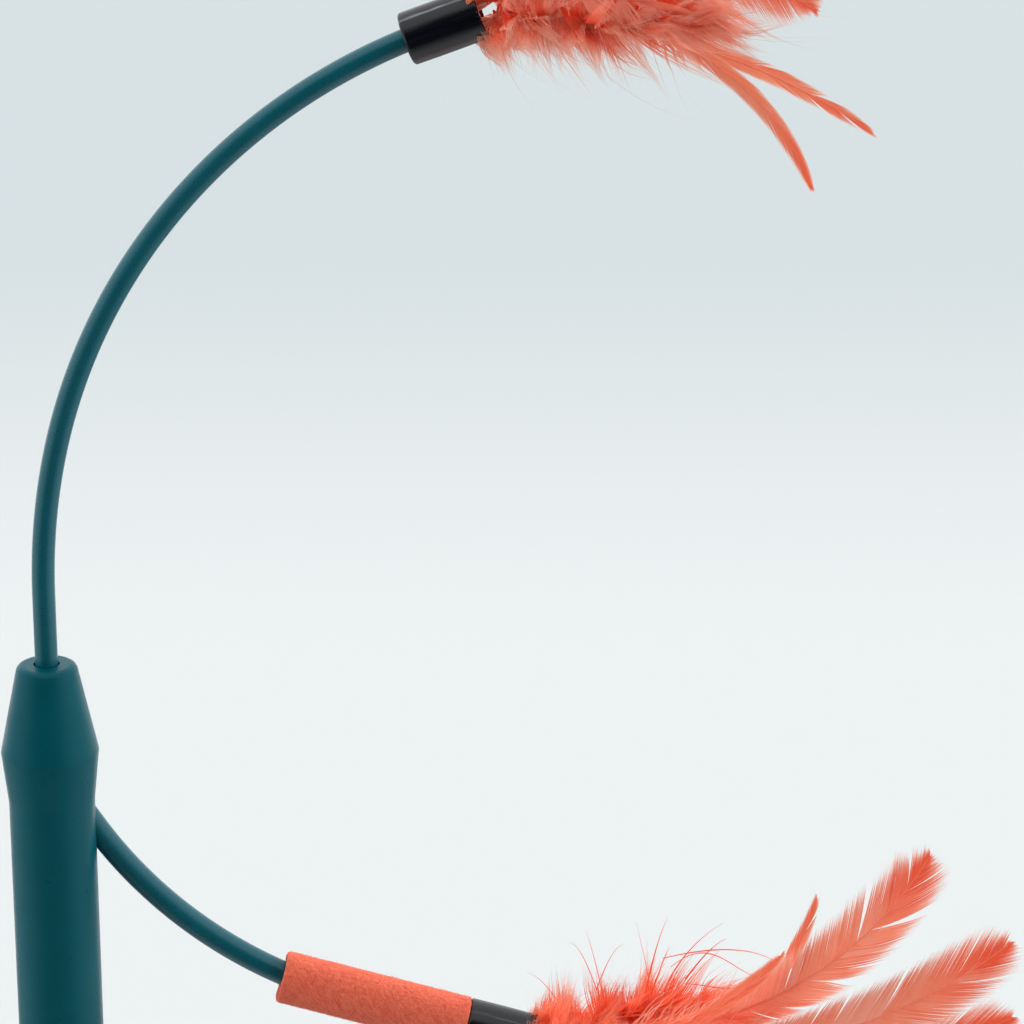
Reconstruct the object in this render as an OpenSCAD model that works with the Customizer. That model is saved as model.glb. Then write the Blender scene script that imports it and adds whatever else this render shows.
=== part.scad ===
// Feather teaser wand with two sprung arms on one handle.
// The origin is the centre of the butt face, with Z up along the handle.
// Both arms lie in planes parallel to XZ and reach out towards +X.

/* [Handle] */
// Length of the handle, butt face to top face
handle_length = 150; // [130:1:180]
// Diameter of the straight grip
grip_d = 23.3; // [21:0.1:25]
// Diameter of the collar below the nose
collar_d = 26.5; // [25:0.1:31]
// Diameter of the top face with its rounding
nose_d = 16; // [14:0.1:20]
// Drop from the top face to the collar
nose_length = 25; // [21:0.5:28]
// Drop from the top face to the waist under the collar
waist_drop = 39.5; // [36:0.5:44]
// Diameter of the rigid core inside the soft sleeve
core_d = 17.2; // [16.4:0.1:18.5]
// Diameter of the hollow in the lower part of the core
hollow_d = 11; // [6:0.5:12]
// Thickness of the butt cap
cap_thickness = 6; // [4:0.5:10]
// Length of the cap's spigot in the hollow
spigot_length = 12; // [6:1:20]

/* [Upper arm] */
// Diameter of the upper tube
upper_tube_d = 6.2; // [5.6:0.1:6.4]
// Straight stretch above the handle
upper_straight = 20; // [10:1:30]
// Radius of the first, wider bend
upper_first_radius = 176.7; // [150:0.1:200]
// Turn of the first bend in degrees
upper_first_turn = 13; // [5:0.5:20]
// Radius of the second bend
upper_second_radius = 158.4; // [140:0.1:180]
// Turn of the second bend in degrees
upper_second_turn = 57; // [50:0.5:60]
// Depth of the tube in the top of the handle
upper_seat_depth = 22; // [19:1:26]

/* [Lower arm] */
// Diameter of the lower tube
lower_tube_d = 6.7; // [6:0.1:6.8]
// Distance of the lower arm's plane behind the handle's axis
lower_plane_y = 4; // [4:0.1:4.1]
// Drop from the top face to the point where the tube leaves the handle
exit_drop = 49; // [48:0.5:54]
// Slope of the tube below level where it leaves the handle, in degrees
exit_slope = 57; // [54:0.5:60]
// Radius of the first bend
lower_first_radius = 125; // [110:1:140]
// Turn of the first bend in degrees
lower_first_turn = 30; // [26:0.5:34]
// Radius of the second bend, which ends inside the felt
lower_second_radius = 80; // [70:1:100]
// Turn of the second bend in degrees
lower_second_turn = 11.3; // [10:0.1:14]
// Depth of the tube in the side of the handle
lower_seat_depth = 14; // [12:0.5:15]

/* [Rod cores and fixings] */
// Diameter of the spring wire in both tubes
wire_d = 1.6; // [1.2:0.1:2]
// Diameter of the crimp on the inner end of each wire
crimp_d = 3.5; // [3:0.1:3.6]
// Length of each crimp
crimp_length = 8; // [6:0.5:9]
// Wall of the bush in the top of the handle
top_bush_wall = 0.75; // [0.6:0.05:1]
// Wall of the bush in the side of the handle
side_bush_wall = 0.55; // [0.5:0.05:0.6]

/* [Ferrules and felt] */
// Outer diameter of the upper ferrule
upper_ferrule_d = 14; // [13.4:0.1:16]
// Length of the upper ferrule
upper_ferrule_length = 20.4; // [19.5:0.1:26]
// Outer diameter of the lower ferrule
lower_ferrule_d = 14.4; // [13.4:0.1:16]
// Length of the part of the lower ferrule that shows past the felt
lower_ferrule_length = 19.6; // [19.5:0.1:26]
// Wall of both ferrules
ferrule_wall = 1; // [0.6:0.1:1.2]
// Outer diameter of the felt sleeve
felt_d = 14.7; // [13:0.1:18]
// Length of the felt sleeve
felt_length = 52.7; // [40:0.1:70]
// Depth of each tube in its ferrule
tip_depth = 9; // [9:0.1:9.5]

/* [Feathers] */
// Diameter of a feather's quill
quill_d = 1.1; // [0.8:0.1:1.2]
// Spacing of the feathers' planes across the lure
feather_pitch = 1.4; // [1.3:0.05:1.5]
// Splay between neighbouring feathers out of the arm's plane, in degrees
feather_splay = 3; // [0.5:0.5:4]
// Thickness of a feather's vane
vane_thickness = 0.5; // [0.3:0.1:0.8]
// Length that the broad feathers' sizes are shares of
broad_length = 140; // [120:1:150]
// Half width of a broad feather
broad_half_width = 10; // [7:0.5:13]
// Length that the narrow feathers' sizes are shares of
narrow_length = 105; // [90:1:115]
// Half width of a narrow feather
narrow_half_width = 2.6; // [1.5:0.1:4]
// Length of the downy plumes
plume_length = 62; // [45:1:75]
// Largest radius of a plume
plume_radius = 13; // [9:0.5:15]
// Spread of a plume from the lure's axis, in degrees
plume_spread = 22; // [18:1:28]

/* [Hidden] */
$fn = 72;

// Gap between pieces that move against each other
running_gap = 0.05;
// Overrun of every cut past the face that it opens
cut = 1;
// Angle of one step along a rounded corner
arc_step_angle = 6;

// Handle
grip_r = grip_d / 2;
nose_rounding = 2.2;
collar_rounding = 4;
waist_rounding = 15;
rim_rounding = 0.6;
cap_rounding = 2.5;
collar_height = handle_length - nose_length;
waist_height = handle_length - waist_drop;
mouth_d = 7.1;
core_top_drop = 7;
core_top = handle_length - core_top_drop;
core_nose_d = 11.2;
core_nose_length = 23;
exit_height = handle_length - exit_drop;
hollow_top = exit_height - lower_tube_d / 2;

// Sockets, each with a narrower pocket for the crimp below the tube's seat
crimp_gap = 0.05;
pocket_d = crimp_d + 2 * crimp_gap;
pocket_length = crimp_length + wire_d;
wire_before = pocket_length - wire_d - running_gap;
upper_floor = handle_length - upper_seat_depth;
upper_bore_d = upper_tube_d + 2 * running_gap;
lower_bore_d = lower_tube_d + 2 * running_gap;
top_bush_d = upper_bore_d + 2 * top_bush_wall;
side_bush_d = lower_bore_d + 2 * side_bush_wall;

// Routes: a state is a point in the arm's plane and a heading in degrees above level
joint_ball_share = 1.01;
function ahead(state, distance) =
    [state[0] + distance * [cos(state[1]), sin(state[1])], state[1]];
function left_of(heading) = [-sin(heading), cos(heading)];
function turned(state, radius, turn) =
    [state[0] + sign(turn) * radius * (left_of(state[1]) - left_of(state[1] + turn)), state[1] + turn];
function beside(state, offset) = [state[0] + offset * left_of(state[1]), state[1]];

upper_seat = [[0, upper_floor], 90];
upper_first = ahead(upper_seat, upper_seat_depth + upper_straight);
upper_second = turned(upper_first, upper_first_radius, -upper_first_turn);
upper_end = turned(upper_second, upper_second_radius, -upper_second_turn);
upper_lap = 7;
upper_tip = ahead(upper_end, -upper_lap);
upper_mouth = ahead(upper_tip, upper_ferrule_length);

exit_x = sqrt(grip_r * grip_r - lower_plane_y * lower_plane_y);
lower_exit = [[exit_x, exit_height], -exit_slope];
lower_seat = ahead(lower_exit, -lower_seat_depth);
lower_second = turned(lower_exit, lower_first_radius, lower_first_turn);
lower_end = turned(lower_second, lower_second_radius, lower_second_turn);
felt_lap = 12.8;
felt_start = ahead(lower_end, -felt_lap);
lower_tip = ahead(felt_start, felt_length);
lower_mouth = ahead(lower_tip, lower_ferrule_length);

// Inside each ferrule: an end wall, the tube's end, the thread binding and the glue
ferrule_end_wall = 1.4;
ferrule_rounding = 0.8;
felt_rounding = 1.4;
tube_stop = ferrule_end_wall + tip_depth;
binding_start = tube_stop + 0.5 * ferrule_end_wall;
binding_length = 5.5;
binding_end = binding_start + binding_length;
wire_in_binding = 4;
glue_recess = 0.8;
quill_root = 5;
upper_root = upper_ferrule_length - binding_end + quill_root;
lower_root = lower_ferrule_length - binding_end + quill_root;
kink_ball_d = 1.2 * quill_d;

// Feathers: one plane each, its quill offset from the wire as a share of the feather pitch
quill_places_shares = [[-2, 1.1], [-1, -1.5], [0, 2.2], [1, -1.5], [2, 1.1]];
quill_extent_share = 0.85;
broad_width_shares = [
    [0, 0.12], [0.08, 0.5], [0.2, 0.8], [0.4, 0.96], [0.65, 1], [0.85, 0.88], [0.95, 0.6], [1, 0.14]
];
narrow_width_shares = [[0, 0.3], [0.25, 0.9], [0.5, 1], [0.75, 0.8], [0.95, 0.4], [1, 0.12]];
vane_points = 24;

// Each feather: slope from the lure's axis, then bend radius (below 0 where it bends down), length
// and bare length, as shares of the length of its kind
upper_broad_angles = [18, 13, 28];
upper_broad_shares = [[-0.55, 0.679, 0.271], [1.857, 0.943, 0.314], [-1.714, 0.886, 0.3]];
upper_narrow_angles = [-5.5, -19];
upper_narrow_shares = [[-0.667, 1.029, 0.457], [-1.524, 1.038, 0.457]];
lower_broad_angles = [5.2, 2.7, -5.8];
lower_broad_shares = [[0.714, 0.95, 0.329], [1.071, 1.021, 0.357], [1.2, 1, 0.343]];
lower_narrow_angles = [-7.3, 10.7];
lower_narrow_shares = [[0.571, 0.952, 0.476], [0.752, 0.733, 0.381]];

// Plumes: one in each quarter around the feathers' planes
plume_root_u = 2.6;
plume_root_y = 4.4;
plume_keep_u = 0.3;
plume_keep_y = 3.6;
plume_keep_angle = 2.2 * feather_splay;
plume_radius_shares = [
    [0, 0.05], [0.06, 0.3], [0.14, 0.58], [0.28, 0.86], [0.45, 1],
    [0.62, 0.92], [0.8, 0.62], [0.93, 0.28], [1, 0.04]
];
plume_points = 16;

// Outlines

function unit(v) = v / norm(v);

// Points of an arc that rounds the corner between two neighbours
function corner_points(before, corner, after, radius) =
    let (u = unit(before - corner), v = unit(after - corner))
    let (half = acos(u * v) / 2)
    let (centre = corner + unit(u + v) * radius / sin(half))
    let (first = corner + u * radius / tan(half) - centre)
    let (side = sign(u[1] * v[0] - u[0] * v[1]))
    let (turn = side * (180 - 2 * half), steps = ceil(abs(turn) / arc_step_angle))
    [for (i = [0:steps])
        let (a = turn * i / steps)
        centre + [first[0] * cos(a) - first[1] * sin(a), first[0] * sin(a) + first[1] * cos(a)]];

// Closed outline from corners given as x, y and rounding radius
function rounded_outline(corners) =
    let (n = len(corners))
    [for (i = [0:n - 1])
        let (c = corners[i], p = corners[(i + n - 1) % n], q = corners[(i + 1) % n])
        each (c[2] == 0
            ? [[c[0], c[1]]]
            : corner_points([p[0], p[1]], [c[0], c[1]], [q[0], q[1]], c[2]))];

// Placement and shared shapes

// Puts what is drawn along +Z at a state of a route
module lay(state, plane_y = 0) {
    translate([state[0][0], plane_y, state[0][1]])
        rotate([0, 90 - state[1], 0])
            children();
}

// Round bar bent along an arc, starting upright at the origin; a right turn leans to +X
module bent_bar(d, radius, turn) {
    rotate([0, 0, turn > 0 ? 0 : 180])
        translate([-radius, 0, 0])
            rotate([90, 0, 0])
                rotate_extrude(angle = abs(turn))
                    translate([radius, 0])
                        circle(d = d);
}

// Ball that joins two runs of a rod, a trace wider than the rod
module run_joint(state, plane_y, d) {
    lay(state, plane_y)
        sphere(d = d * joint_ball_share);
}

// Upper rod of a given diameter, from before its seat to past the end of its bends
module upper_route(d, before, past) {
    lay(ahead(upper_seat, -before))
        cylinder(d = d, h = before + upper_seat_depth + upper_straight);
    lay(upper_first)
        bent_bar(d, upper_first_radius, -upper_first_turn);
    lay(upper_second)
        bent_bar(d, upper_second_radius, -upper_second_turn);
    lay(upper_end)
        cylinder(d = d, h = past);
    for (state = [upper_first, upper_second, upper_end])
        run_joint(state, 0, d);
}

// Last bend of the lower rod and what follows it
module lower_route_end(d, past) {
    lay(lower_second, lower_plane_y)
        bent_bar(d, lower_second_radius, lower_second_turn);
    lay(lower_end, lower_plane_y)
        cylinder(d = d, h = past);
    run_joint(lower_end, lower_plane_y, d);
}

// Lower rod of a given diameter, from before its seat to past the end of its bends
module lower_route(d, before, past) {
    lay(ahead(lower_seat, -before), lower_plane_y)
        cylinder(d = d, h = before + lower_seat_depth);
    lay(lower_exit, lower_plane_y)
        bent_bar(d, lower_first_radius, lower_first_turn);
    for (state = [lower_exit, lower_second])
        run_joint(state, lower_plane_y, d);
    lower_route_end(d, past);
}

// Outer shape of the handle above the cap
module handle_shape() {
    rotate_extrude()
        polygon(rounded_outline([
            [0, cap_thickness, 0],
            [grip_r, cap_thickness, rim_rounding],
            [grip_r, waist_height, waist_rounding],
            [collar_d / 2, collar_height, collar_rounding],
            [nose_d / 2, handle_length, nose_rounding],
            [0, handle_length, 0]
        ]));
}

// Outer shape of the rigid core
module core_shape() {
    rotate_extrude()
        polygon([
            [0, cap_thickness],
            [core_d / 2, cap_thickness],
            [core_d / 2, core_top - core_nose_length],
            [core_nose_d / 2, core_top],
            [0, core_top]
        ]);
}

// Slanted socket for the lower arm, open past the surface of the handle
module side_socket() {
    lay(lower_seat, lower_plane_y)
        cylinder(d = side_bush_d, h = lower_seat_depth + grip_r);
}

// Handle

module grip_sleeve() {
    color([0.07, 0.30, 0.34])
        difference() {
            handle_shape();
            core_shape();
            translate([0, 0, core_top - cut])
                cylinder(d = mouth_d, h = core_top_drop + 2 * cut);
            side_socket();
        }
}

module handle_core() {
    color([0.16, 0.20, 0.22])
        difference() {
            core_shape();
            translate([0, 0, cap_thickness - cut])
                cylinder(d = hollow_d, h = hollow_top - cap_thickness + cut);
            translate([0, 0, upper_floor])
                cylinder(d = top_bush_d, h = upper_seat_depth);
            translate([0, 0, upper_floor - pocket_length])
                cylinder(d = pocket_d, h = pocket_length + cut);
            side_socket();
            lay(ahead(lower_seat, -pocket_length), lower_plane_y)
                cylinder(d = pocket_d, h = pocket_length + cut);
        }
}

module butt_cap() {
    color([0.06, 0.26, 0.30])
        rotate_extrude()
            polygon(rounded_outline([
                [0, 0, 0],
                [grip_r, 0, cap_rounding],
                [grip_r, cap_thickness, rim_rounding],
                [hollow_d / 2, cap_thickness, 0],
                [hollow_d / 2, cap_thickness + spigot_length, rim_rounding],
                [0, cap_thickness + spigot_length, 0]
            ]));
}

module top_bush() {
    color([0.12, 0.12, 0.13])
        difference() {
            translate([0, 0, upper_floor])
                cylinder(d = top_bush_d, h = core_top - upper_floor);
            translate([0, 0, upper_floor - cut])
                cylinder(d = upper_bore_d, h = upper_seat_depth + 2 * cut);
        }
}

module side_bush() {
    color([0.12, 0.12, 0.13])
        difference() {
            intersection() {
                side_socket();
                cylinder(r = grip_r, h = handle_length);
            }
            lay(ahead(lower_seat, -cut), lower_plane_y)
                cylinder(d = lower_bore_d, h = lower_seat_depth + grip_r + 2 * cut);
        }
}

// Crimp at the bottom of a socket's pocket
module crimp() {
    color([0.72, 0.58, 0.30])
        difference() {
            cylinder(d = crimp_d, h = crimp_length);
            translate([0, 0, wire_d])
                cylinder(d = wire_d + 2 * running_gap, h = crimp_length);
        }
}

module upper_crimp() {
    lay(ahead(upper_seat, -pocket_length))
        crimp();
}

module lower_crimp() {
    lay(ahead(lower_seat, -pocket_length), lower_plane_y)
        crimp();
}

// Rods

module upper_wire() {
    color([0.75, 0.76, 0.78])
        upper_route(wire_d, wire_before, binding_start + wire_in_binding - upper_lap);
}

module lower_wire() {
    color([0.75, 0.76, 0.78])
        lower_route(wire_d, wire_before, felt_length - felt_lap + binding_start + wire_in_binding);
}

module upper_tube() {
    color([0.08, 0.33, 0.38])
        difference() {
            upper_route(upper_tube_d, 0, tube_stop - upper_lap);
            upper_route(wire_d, cut, tube_stop - upper_lap + cut);
        }
}

module lower_tube() {
    color([0.08, 0.33, 0.38])
        difference() {
            lower_route(lower_tube_d, 0, felt_length - felt_lap + tube_stop);
            lower_route(wire_d, cut, felt_length - felt_lap + tube_stop + cut);
        }
}

// Ferrules, felt and what they hold

// Tube with one closed end, drawn along +Z from its closed end
module ferrule(d, length) {
    difference() {
        rotate_extrude()
            polygon(rounded_outline([
                [0, 0, 0],
                [d / 2, 0, ferrule_rounding],
                [d / 2, length, ferrule_wall / 3],
                [0, length, 0]
            ]));
        translate([0, 0, ferrule_end_wall])
            cylinder(d = d - 2 * ferrule_wall, h = length);
    }
}

module upper_ferrule() {
    color([0.04, 0.05, 0.08])
        difference() {
            lay(upper_tip)
                ferrule(upper_ferrule_d, upper_ferrule_length);
            upper_route(upper_bore_d, 0, tube_stop - upper_lap);
        }
}

module lower_ferrule() {
    color([0.07, 0.08, 0.10])
        difference() {
            lay(lower_tip, lower_plane_y)
                ferrule(lower_ferrule_d, lower_ferrule_length);
            lower_route_end(lower_bore_d, felt_length - felt_lap + tube_stop);
        }
}

module felt_sleeve() {
    color([0.90, 0.38, 0.28])
        difference() {
            lay(felt_start, lower_plane_y)
                rotate_extrude()
                    polygon(rounded_outline([
                        [0, 0, 0],
                        [felt_d / 2, 0, felt_rounding],
                        [felt_d / 2, felt_length, felt_rounding / 3],
                        [0, felt_length, 0]
                    ]));
            lower_route_end(lower_bore_d, felt_length - felt_lap + cut);
        }
}

// Straight roots of the quills and plume stems, from a depth behind the mouth to just past it
module quill_roots(length) {
    for (place = quill_places_shares)
        translate([-place[1] * feather_pitch, place[0] * feather_pitch, -length])
            cylinder(d = quill_d, h = length + cut);
    for (u = [-1, 1], y = [-1, 1])
        translate([-u * plume_root_u, y * plume_root_y, -length])
            cylinder(d = quill_d, h = length + cut);
}

// Thread wound round the quills, drawn from the closed end of its ferrule
module binding(ferrule_d, ferrule_length) {
    color([0.80, 0.76, 0.68])
        difference() {
            translate([0, 0, binding_start])
                cylinder(d = ferrule_d - 2 * ferrule_wall, h = binding_length);
            translate([0, 0, binding_start - cut])
                cylinder(d = wire_d + 2 * running_gap, h = binding_length + 2 * cut);
            translate([0, 0, ferrule_length])
                quill_roots(ferrule_length - binding_end + quill_root);
        }
}

// Glue that closes the mouth of a ferrule round the quills
module glue(ferrule_d, ferrule_length) {
    color([0.85, 0.62, 0.52])
        difference() {
            translate([0, 0, binding_end])
                cylinder(d = ferrule_d - 2 * ferrule_wall, h = ferrule_length - glue_recess - binding_end);
            translate([0, 0, ferrule_length])
                quill_roots(ferrule_length - binding_end + quill_root);
        }
}

module upper_binding() {
    lay(upper_tip)
        binding(upper_ferrule_d, upper_ferrule_length);
}

module lower_binding() {
    lay(lower_tip, lower_plane_y)
        binding(lower_ferrule_d, lower_ferrule_length);
}

module upper_glue() {
    lay(upper_tip)
        glue(upper_ferrule_d, upper_ferrule_length);
}

module lower_glue() {
    lay(lower_tip, lower_plane_y)
        glue(lower_ferrule_d, lower_ferrule_length);
}

// Feathers, drawn with +X along the lure's axis and +Z on its left

// Places a lure at the mouth of its ferrule
module lure(mouth, plane_y) {
    translate([mouth[0][0], plane_y, mouth[0][1]])
        rotate([0, -mouth[1], 0])
            children();
}

// Point and heading at a distance along a feather's shaft
function shaft_state(slope, radius, side, s) = turned([[0, 0], slope], radius, side * s / radius * 180 / PI);

// Outline of a vane, up one side of the shaft and back down the other
function vane_outline(slope, radius, side, from, to, half_width, shares) =
    [for (edge = [1, -1], i = [0:vane_points])
        let (t = (edge > 0 ? i : vane_points - i) / vane_points)
        beside(shaft_state(slope, radius, side, from + (to - from) * t),
            edge * half_width * lookup(t, shares))[0]];

// One feather: a straight root in the ferrule, a ball at the kink with its seam turned away
// from both rods, then a shaft bent along an arc, with its vane
module feather(place, slope, sizes, half_width, shares, root) {
    radius = abs(sizes[0]);
    side = sign(sizes[0]);
    length = sizes[1];
    bare = sizes[2];
    color([0.93, 0.45, 0.35])
        translate([0, place[0] * feather_pitch, place[1] * feather_pitch]) {
            lay([[-root, 0], 0])
                cylinder(d = quill_d, h = root);
            rotate([90, -90, 0])
                sphere(d = kink_ball_d);
            rotate([0, 0, place[0] * feather_splay]) {
                lay([[0, 0], slope])
                    bent_bar(quill_d, radius, side * length * quill_extent_share / radius * 180 / PI);
                translate([0, vane_thickness / 2, 0])
                    rotate([90, 0, 0])
                        linear_extrude(vane_thickness)
                            polygon(vane_outline(slope, radius, side, bare, length, half_width, shares));
            }
        }
}

module broad_feather(place, slope, shares, root) {
    feather(
        quill_places_shares[place], slope, shares * broad_length,
        broad_half_width, broad_width_shares, root
    );
}

module narrow_feather(place, slope, shares, root) {
    feather(
        quill_places_shares[place], slope, shares * narrow_length,
        narrow_half_width, narrow_width_shares, root
    );
}

module upper_broad_1() {
    lure(upper_mouth, 0)
        broad_feather(0, upper_broad_angles[0], upper_broad_shares[0], upper_root);
}

module upper_broad_2() {
    lure(upper_mouth, 0)
        broad_feather(2, upper_broad_angles[1], upper_broad_shares[1], upper_root);
}

module upper_broad_3() {
    lure(upper_mouth, 0)
        broad_feather(4, upper_broad_angles[2], upper_broad_shares[2], upper_root);
}

module upper_narrow_1() {
    lure(upper_mouth, 0)
        narrow_feather(1, upper_narrow_angles[0], upper_narrow_shares[0], upper_root);
}

module upper_narrow_2() {
    lure(upper_mouth, 0)
        narrow_feather(3, upper_narrow_angles[1], upper_narrow_shares[1], upper_root);
}

module lower_broad_1() {
    lure(lower_mouth, lower_plane_y)
        broad_feather(2, lower_broad_angles[0], lower_broad_shares[0], lower_root);
}

module lower_broad_2() {
    lure(lower_mouth, lower_plane_y)
        broad_feather(0, lower_broad_angles[1], lower_broad_shares[1], lower_root);
}

module lower_broad_3() {
    lure(lower_mouth, lower_plane_y)
        broad_feather(4, lower_broad_angles[2], lower_broad_shares[2], lower_root);
}

module lower_narrow_1() {
    lure(lower_mouth, lower_plane_y)
        narrow_feather(3, lower_narrow_angles[0], lower_narrow_shares[0], lower_root);
}

module lower_narrow_2() {
    lure(lower_mouth, lower_plane_y)
        narrow_feather(1, lower_narrow_angles[1], lower_narrow_shares[1], lower_root);
}

// Downy plumes

// Quarter of the space round a lure's axis, clear of the feathers' planes
module plume_quarter(u, y) {
    translate([0, y * plume_keep_y, u * plume_keep_u])
        rotate([0, 0, y * plume_keep_angle])
            mirror([0, y > 0 ? 0 : 1, 0])
                mirror([0, 0, u > 0 ? 0 : 1])
                    cube([2 * plume_length, plume_length, plume_length]);
}

// One plume in the quarter given by two signs, its stem parallel to the quills
module plume(u, y, root) {
    color([0.95, 0.52, 0.42]) {
        translate([-root, y * plume_root_y, u * plume_root_u])
            rotate([0, 90, 0])
                cylinder(d = quill_d, h = root);
        intersection() {
            translate([0, y * plume_root_y, u * plume_root_u])
                rotate([atan2(u, y), 0, 0])
                    rotate([0, 0, plume_spread])
                        rotate([0, 90, 0])
                            rotate_extrude()
                                polygon(concat(
                                    [[0, 0]],
                                    [for (i = [0:plume_points])
                                        let (t = i / plume_points)
                                        [plume_radius * lookup(t, plume_radius_shares), plume_length * t]],
                                    [[0, plume_length]]
                                ));
            plume_quarter(u, y);
        }
    }
}

module upper_plume(u, y) {
    lure(upper_mouth, 0)
        plume(u, y, upper_root);
}

module lower_plume(u, y) {
    lure(lower_mouth, lower_plane_y)
        plume(u, y, lower_root);
}

grip_sleeve();
handle_core();
butt_cap();
top_bush();
side_bush();
upper_crimp();
lower_crimp();
upper_wire();
lower_wire();
upper_tube();
lower_tube();
upper_ferrule();
lower_ferrule();
felt_sleeve();
upper_binding();
lower_binding();
upper_glue();
lower_glue();
upper_broad_1();
upper_broad_2();
upper_broad_3();
upper_narrow_1();
upper_narrow_2();
lower_broad_1();
lower_broad_2();
lower_broad_3();
lower_narrow_1();
lower_narrow_2();
upper_plume(-1, -1);  // upper_plume_1
upper_plume(-1, 1);  // upper_plume_2
upper_plume(1, -1);  // upper_plume_3
upper_plume(1, 1);  // upper_plume_4
lower_plume(-1, -1);  // lower_plume_1
lower_plume(-1, 1);  // lower_plume_2
lower_plume(1, -1);  // lower_plume_3
lower_plume(1, 1);  // lower_plume_4
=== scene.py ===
"""Scene of a feather teaser wand with two sprung arms on one handle.

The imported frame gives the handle, its fixings and the ferrules' fillings, which get their finishes here.
The bent rods, the shrink-tube ferrules, the felt, the feathers and the down are built along the same
routes as in the frame. Sizes are in millimetres and degrees, meshes and positions in metres.
"""

import logging
import math
from dataclasses import dataclass, field
from enum import Enum

import bpy
import numpy as np
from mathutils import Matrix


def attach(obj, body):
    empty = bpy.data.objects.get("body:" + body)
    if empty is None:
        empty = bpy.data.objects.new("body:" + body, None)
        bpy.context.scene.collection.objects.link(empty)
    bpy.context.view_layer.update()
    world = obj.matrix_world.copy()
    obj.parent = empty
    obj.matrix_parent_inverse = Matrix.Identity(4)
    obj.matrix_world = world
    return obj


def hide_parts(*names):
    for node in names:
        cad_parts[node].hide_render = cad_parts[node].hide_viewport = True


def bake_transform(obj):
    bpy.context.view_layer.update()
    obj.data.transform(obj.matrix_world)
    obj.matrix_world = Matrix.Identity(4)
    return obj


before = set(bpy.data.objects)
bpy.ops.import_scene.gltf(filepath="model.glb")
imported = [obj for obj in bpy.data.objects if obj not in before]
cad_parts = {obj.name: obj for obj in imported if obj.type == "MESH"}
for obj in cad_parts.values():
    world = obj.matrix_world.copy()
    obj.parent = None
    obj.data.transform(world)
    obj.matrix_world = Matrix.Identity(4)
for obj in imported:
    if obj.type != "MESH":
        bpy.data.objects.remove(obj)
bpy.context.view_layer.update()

log = logging.getLogger("teaser_wand")
MM = 0.001
DEGREE = math.pi / 180
ROUNDING = 1e-9
NO_TRIANGLES = np.zeros((0, 3))


class Arm(Enum):
    """The two arms; the value starts the names of each arm's nodes and bodies."""

    UPPER = "upper"
    LOWER = "lower"


class Slot(Enum):
    """Material slots of the record."""

    WIRE = "spring_wire"
    TUBE = "rod_tube"
    SHRINK = "shrink_black"
    FELT = "felt"
    BROAD = "broad_feather"
    NARROW = "narrow_feather"
    DOWN = "down"


# Geometry helpers


def smooth_step(low: float, high: float, value: np.ndarray) -> np.ndarray:
    """Smooth rise from 0 at low to 1 at high.

    Args:
        low: Where the rise starts.
        high: Where it ends.
        value: Values to map.

    Returns:
        The mapped values.
    """
    t = np.clip((value - low) / (high - low), 0, 1)
    return t * t * (3 - 2 * t)


def unit(vectors: np.ndarray) -> np.ndarray:
    """Vectors scaled to length 1 along the last axis."""
    return vectors / np.maximum(np.linalg.norm(vectors, axis=-1, keepdims=True), ROUNDING)


def lookup(table: tuple, values: np.ndarray) -> np.ndarray:
    """Reads a table of pairs, with straight lines between its rows.

    Args:
        table: Rows of a place and a value.
        values: Places to read it at.

    Returns:
        The values there.
    """
    rows = np.array(table)
    return np.interp(values, rows[:, 0], rows[:, 1])


@dataclass(frozen=True)
class Station:
    """A point of a route in the arm's plane, with its heading in degrees above level."""

    x: float
    z: float
    heading: float

    def ahead(self, distance: float) -> "Station":
        """The station straight ahead.

        Args:
            distance: How far ahead.

        Returns:
            The station there.
        """
        angle = self.heading * DEGREE
        x, z = self.x + distance * math.cos(angle), self.z + distance * math.sin(angle)
        return Station(x, z, self.heading)

    def turned(self, radius: float, turn: float) -> "Station":
        """The station after an arc, to the left for a turn above 0.

        Args:
            radius: Radius of the arc.
            turn: Turn in degrees.

        Returns:
            The station at the arc's end.
        """
        side = math.copysign(1, turn)
        a, b = self.heading * DEGREE, (self.heading + turn) * DEGREE
        return Station(
            self.x + side * radius * (math.sin(b) - math.sin(a)),
            self.z + side * radius * (math.cos(a) - math.cos(b)),
            self.heading + turn,
        )


@dataclass
class Route:
    """Straights and bends in one plane parallel to XZ, read by the distance from the start."""

    start: Station
    plane_y: float
    legs: list = field(default_factory=list)
    length: float = 0.0

    def straight(self, distance: float) -> "Route":
        """Adds a straight leg.

        Args:
            distance: Its length.

        Returns:
            The route itself.
        """
        self.legs.append((self.length, self.end(), 0.0))
        self.length += distance
        return self

    def bend(self, radius: float, turn: float) -> "Route":
        """Adds an arc.

        Args:
            radius: Its radius.
            turn: Its turn in degrees, above 0 to the left.

        Returns:
            The route itself.
        """
        distance = radius * abs(turn) * DEGREE
        self.legs.append((self.length, self.end(), math.copysign(radius, turn)))
        self.length += distance
        return self

    def end(self) -> Station:
        """The station after the last leg.

        Returns:
            The station.
        """
        if not self.legs:
            return self.start
        return self.at(self.length)

    def at(self, distance: float) -> Station:
        """The station at a distance from the start.

        Args:
            distance: The distance, which may lie before the start or past the end.

        Returns:
            The station.
        """
        begin, station, radius = self.legs[0]
        for leg in self.legs:
            if leg[0] <= distance + ROUNDING:
                begin, station, radius = leg
        run = distance - begin
        if radius == 0:
            return station.ahead(run)
        return station.turned(abs(radius), math.copysign(run / abs(radius) / DEGREE, radius))

    def point(self, distance: float) -> np.ndarray:
        """The place in metres at a distance from the start."""
        station = self.at(distance)
        return np.array([station.x, self.plane_y, station.z]) * MM


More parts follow.
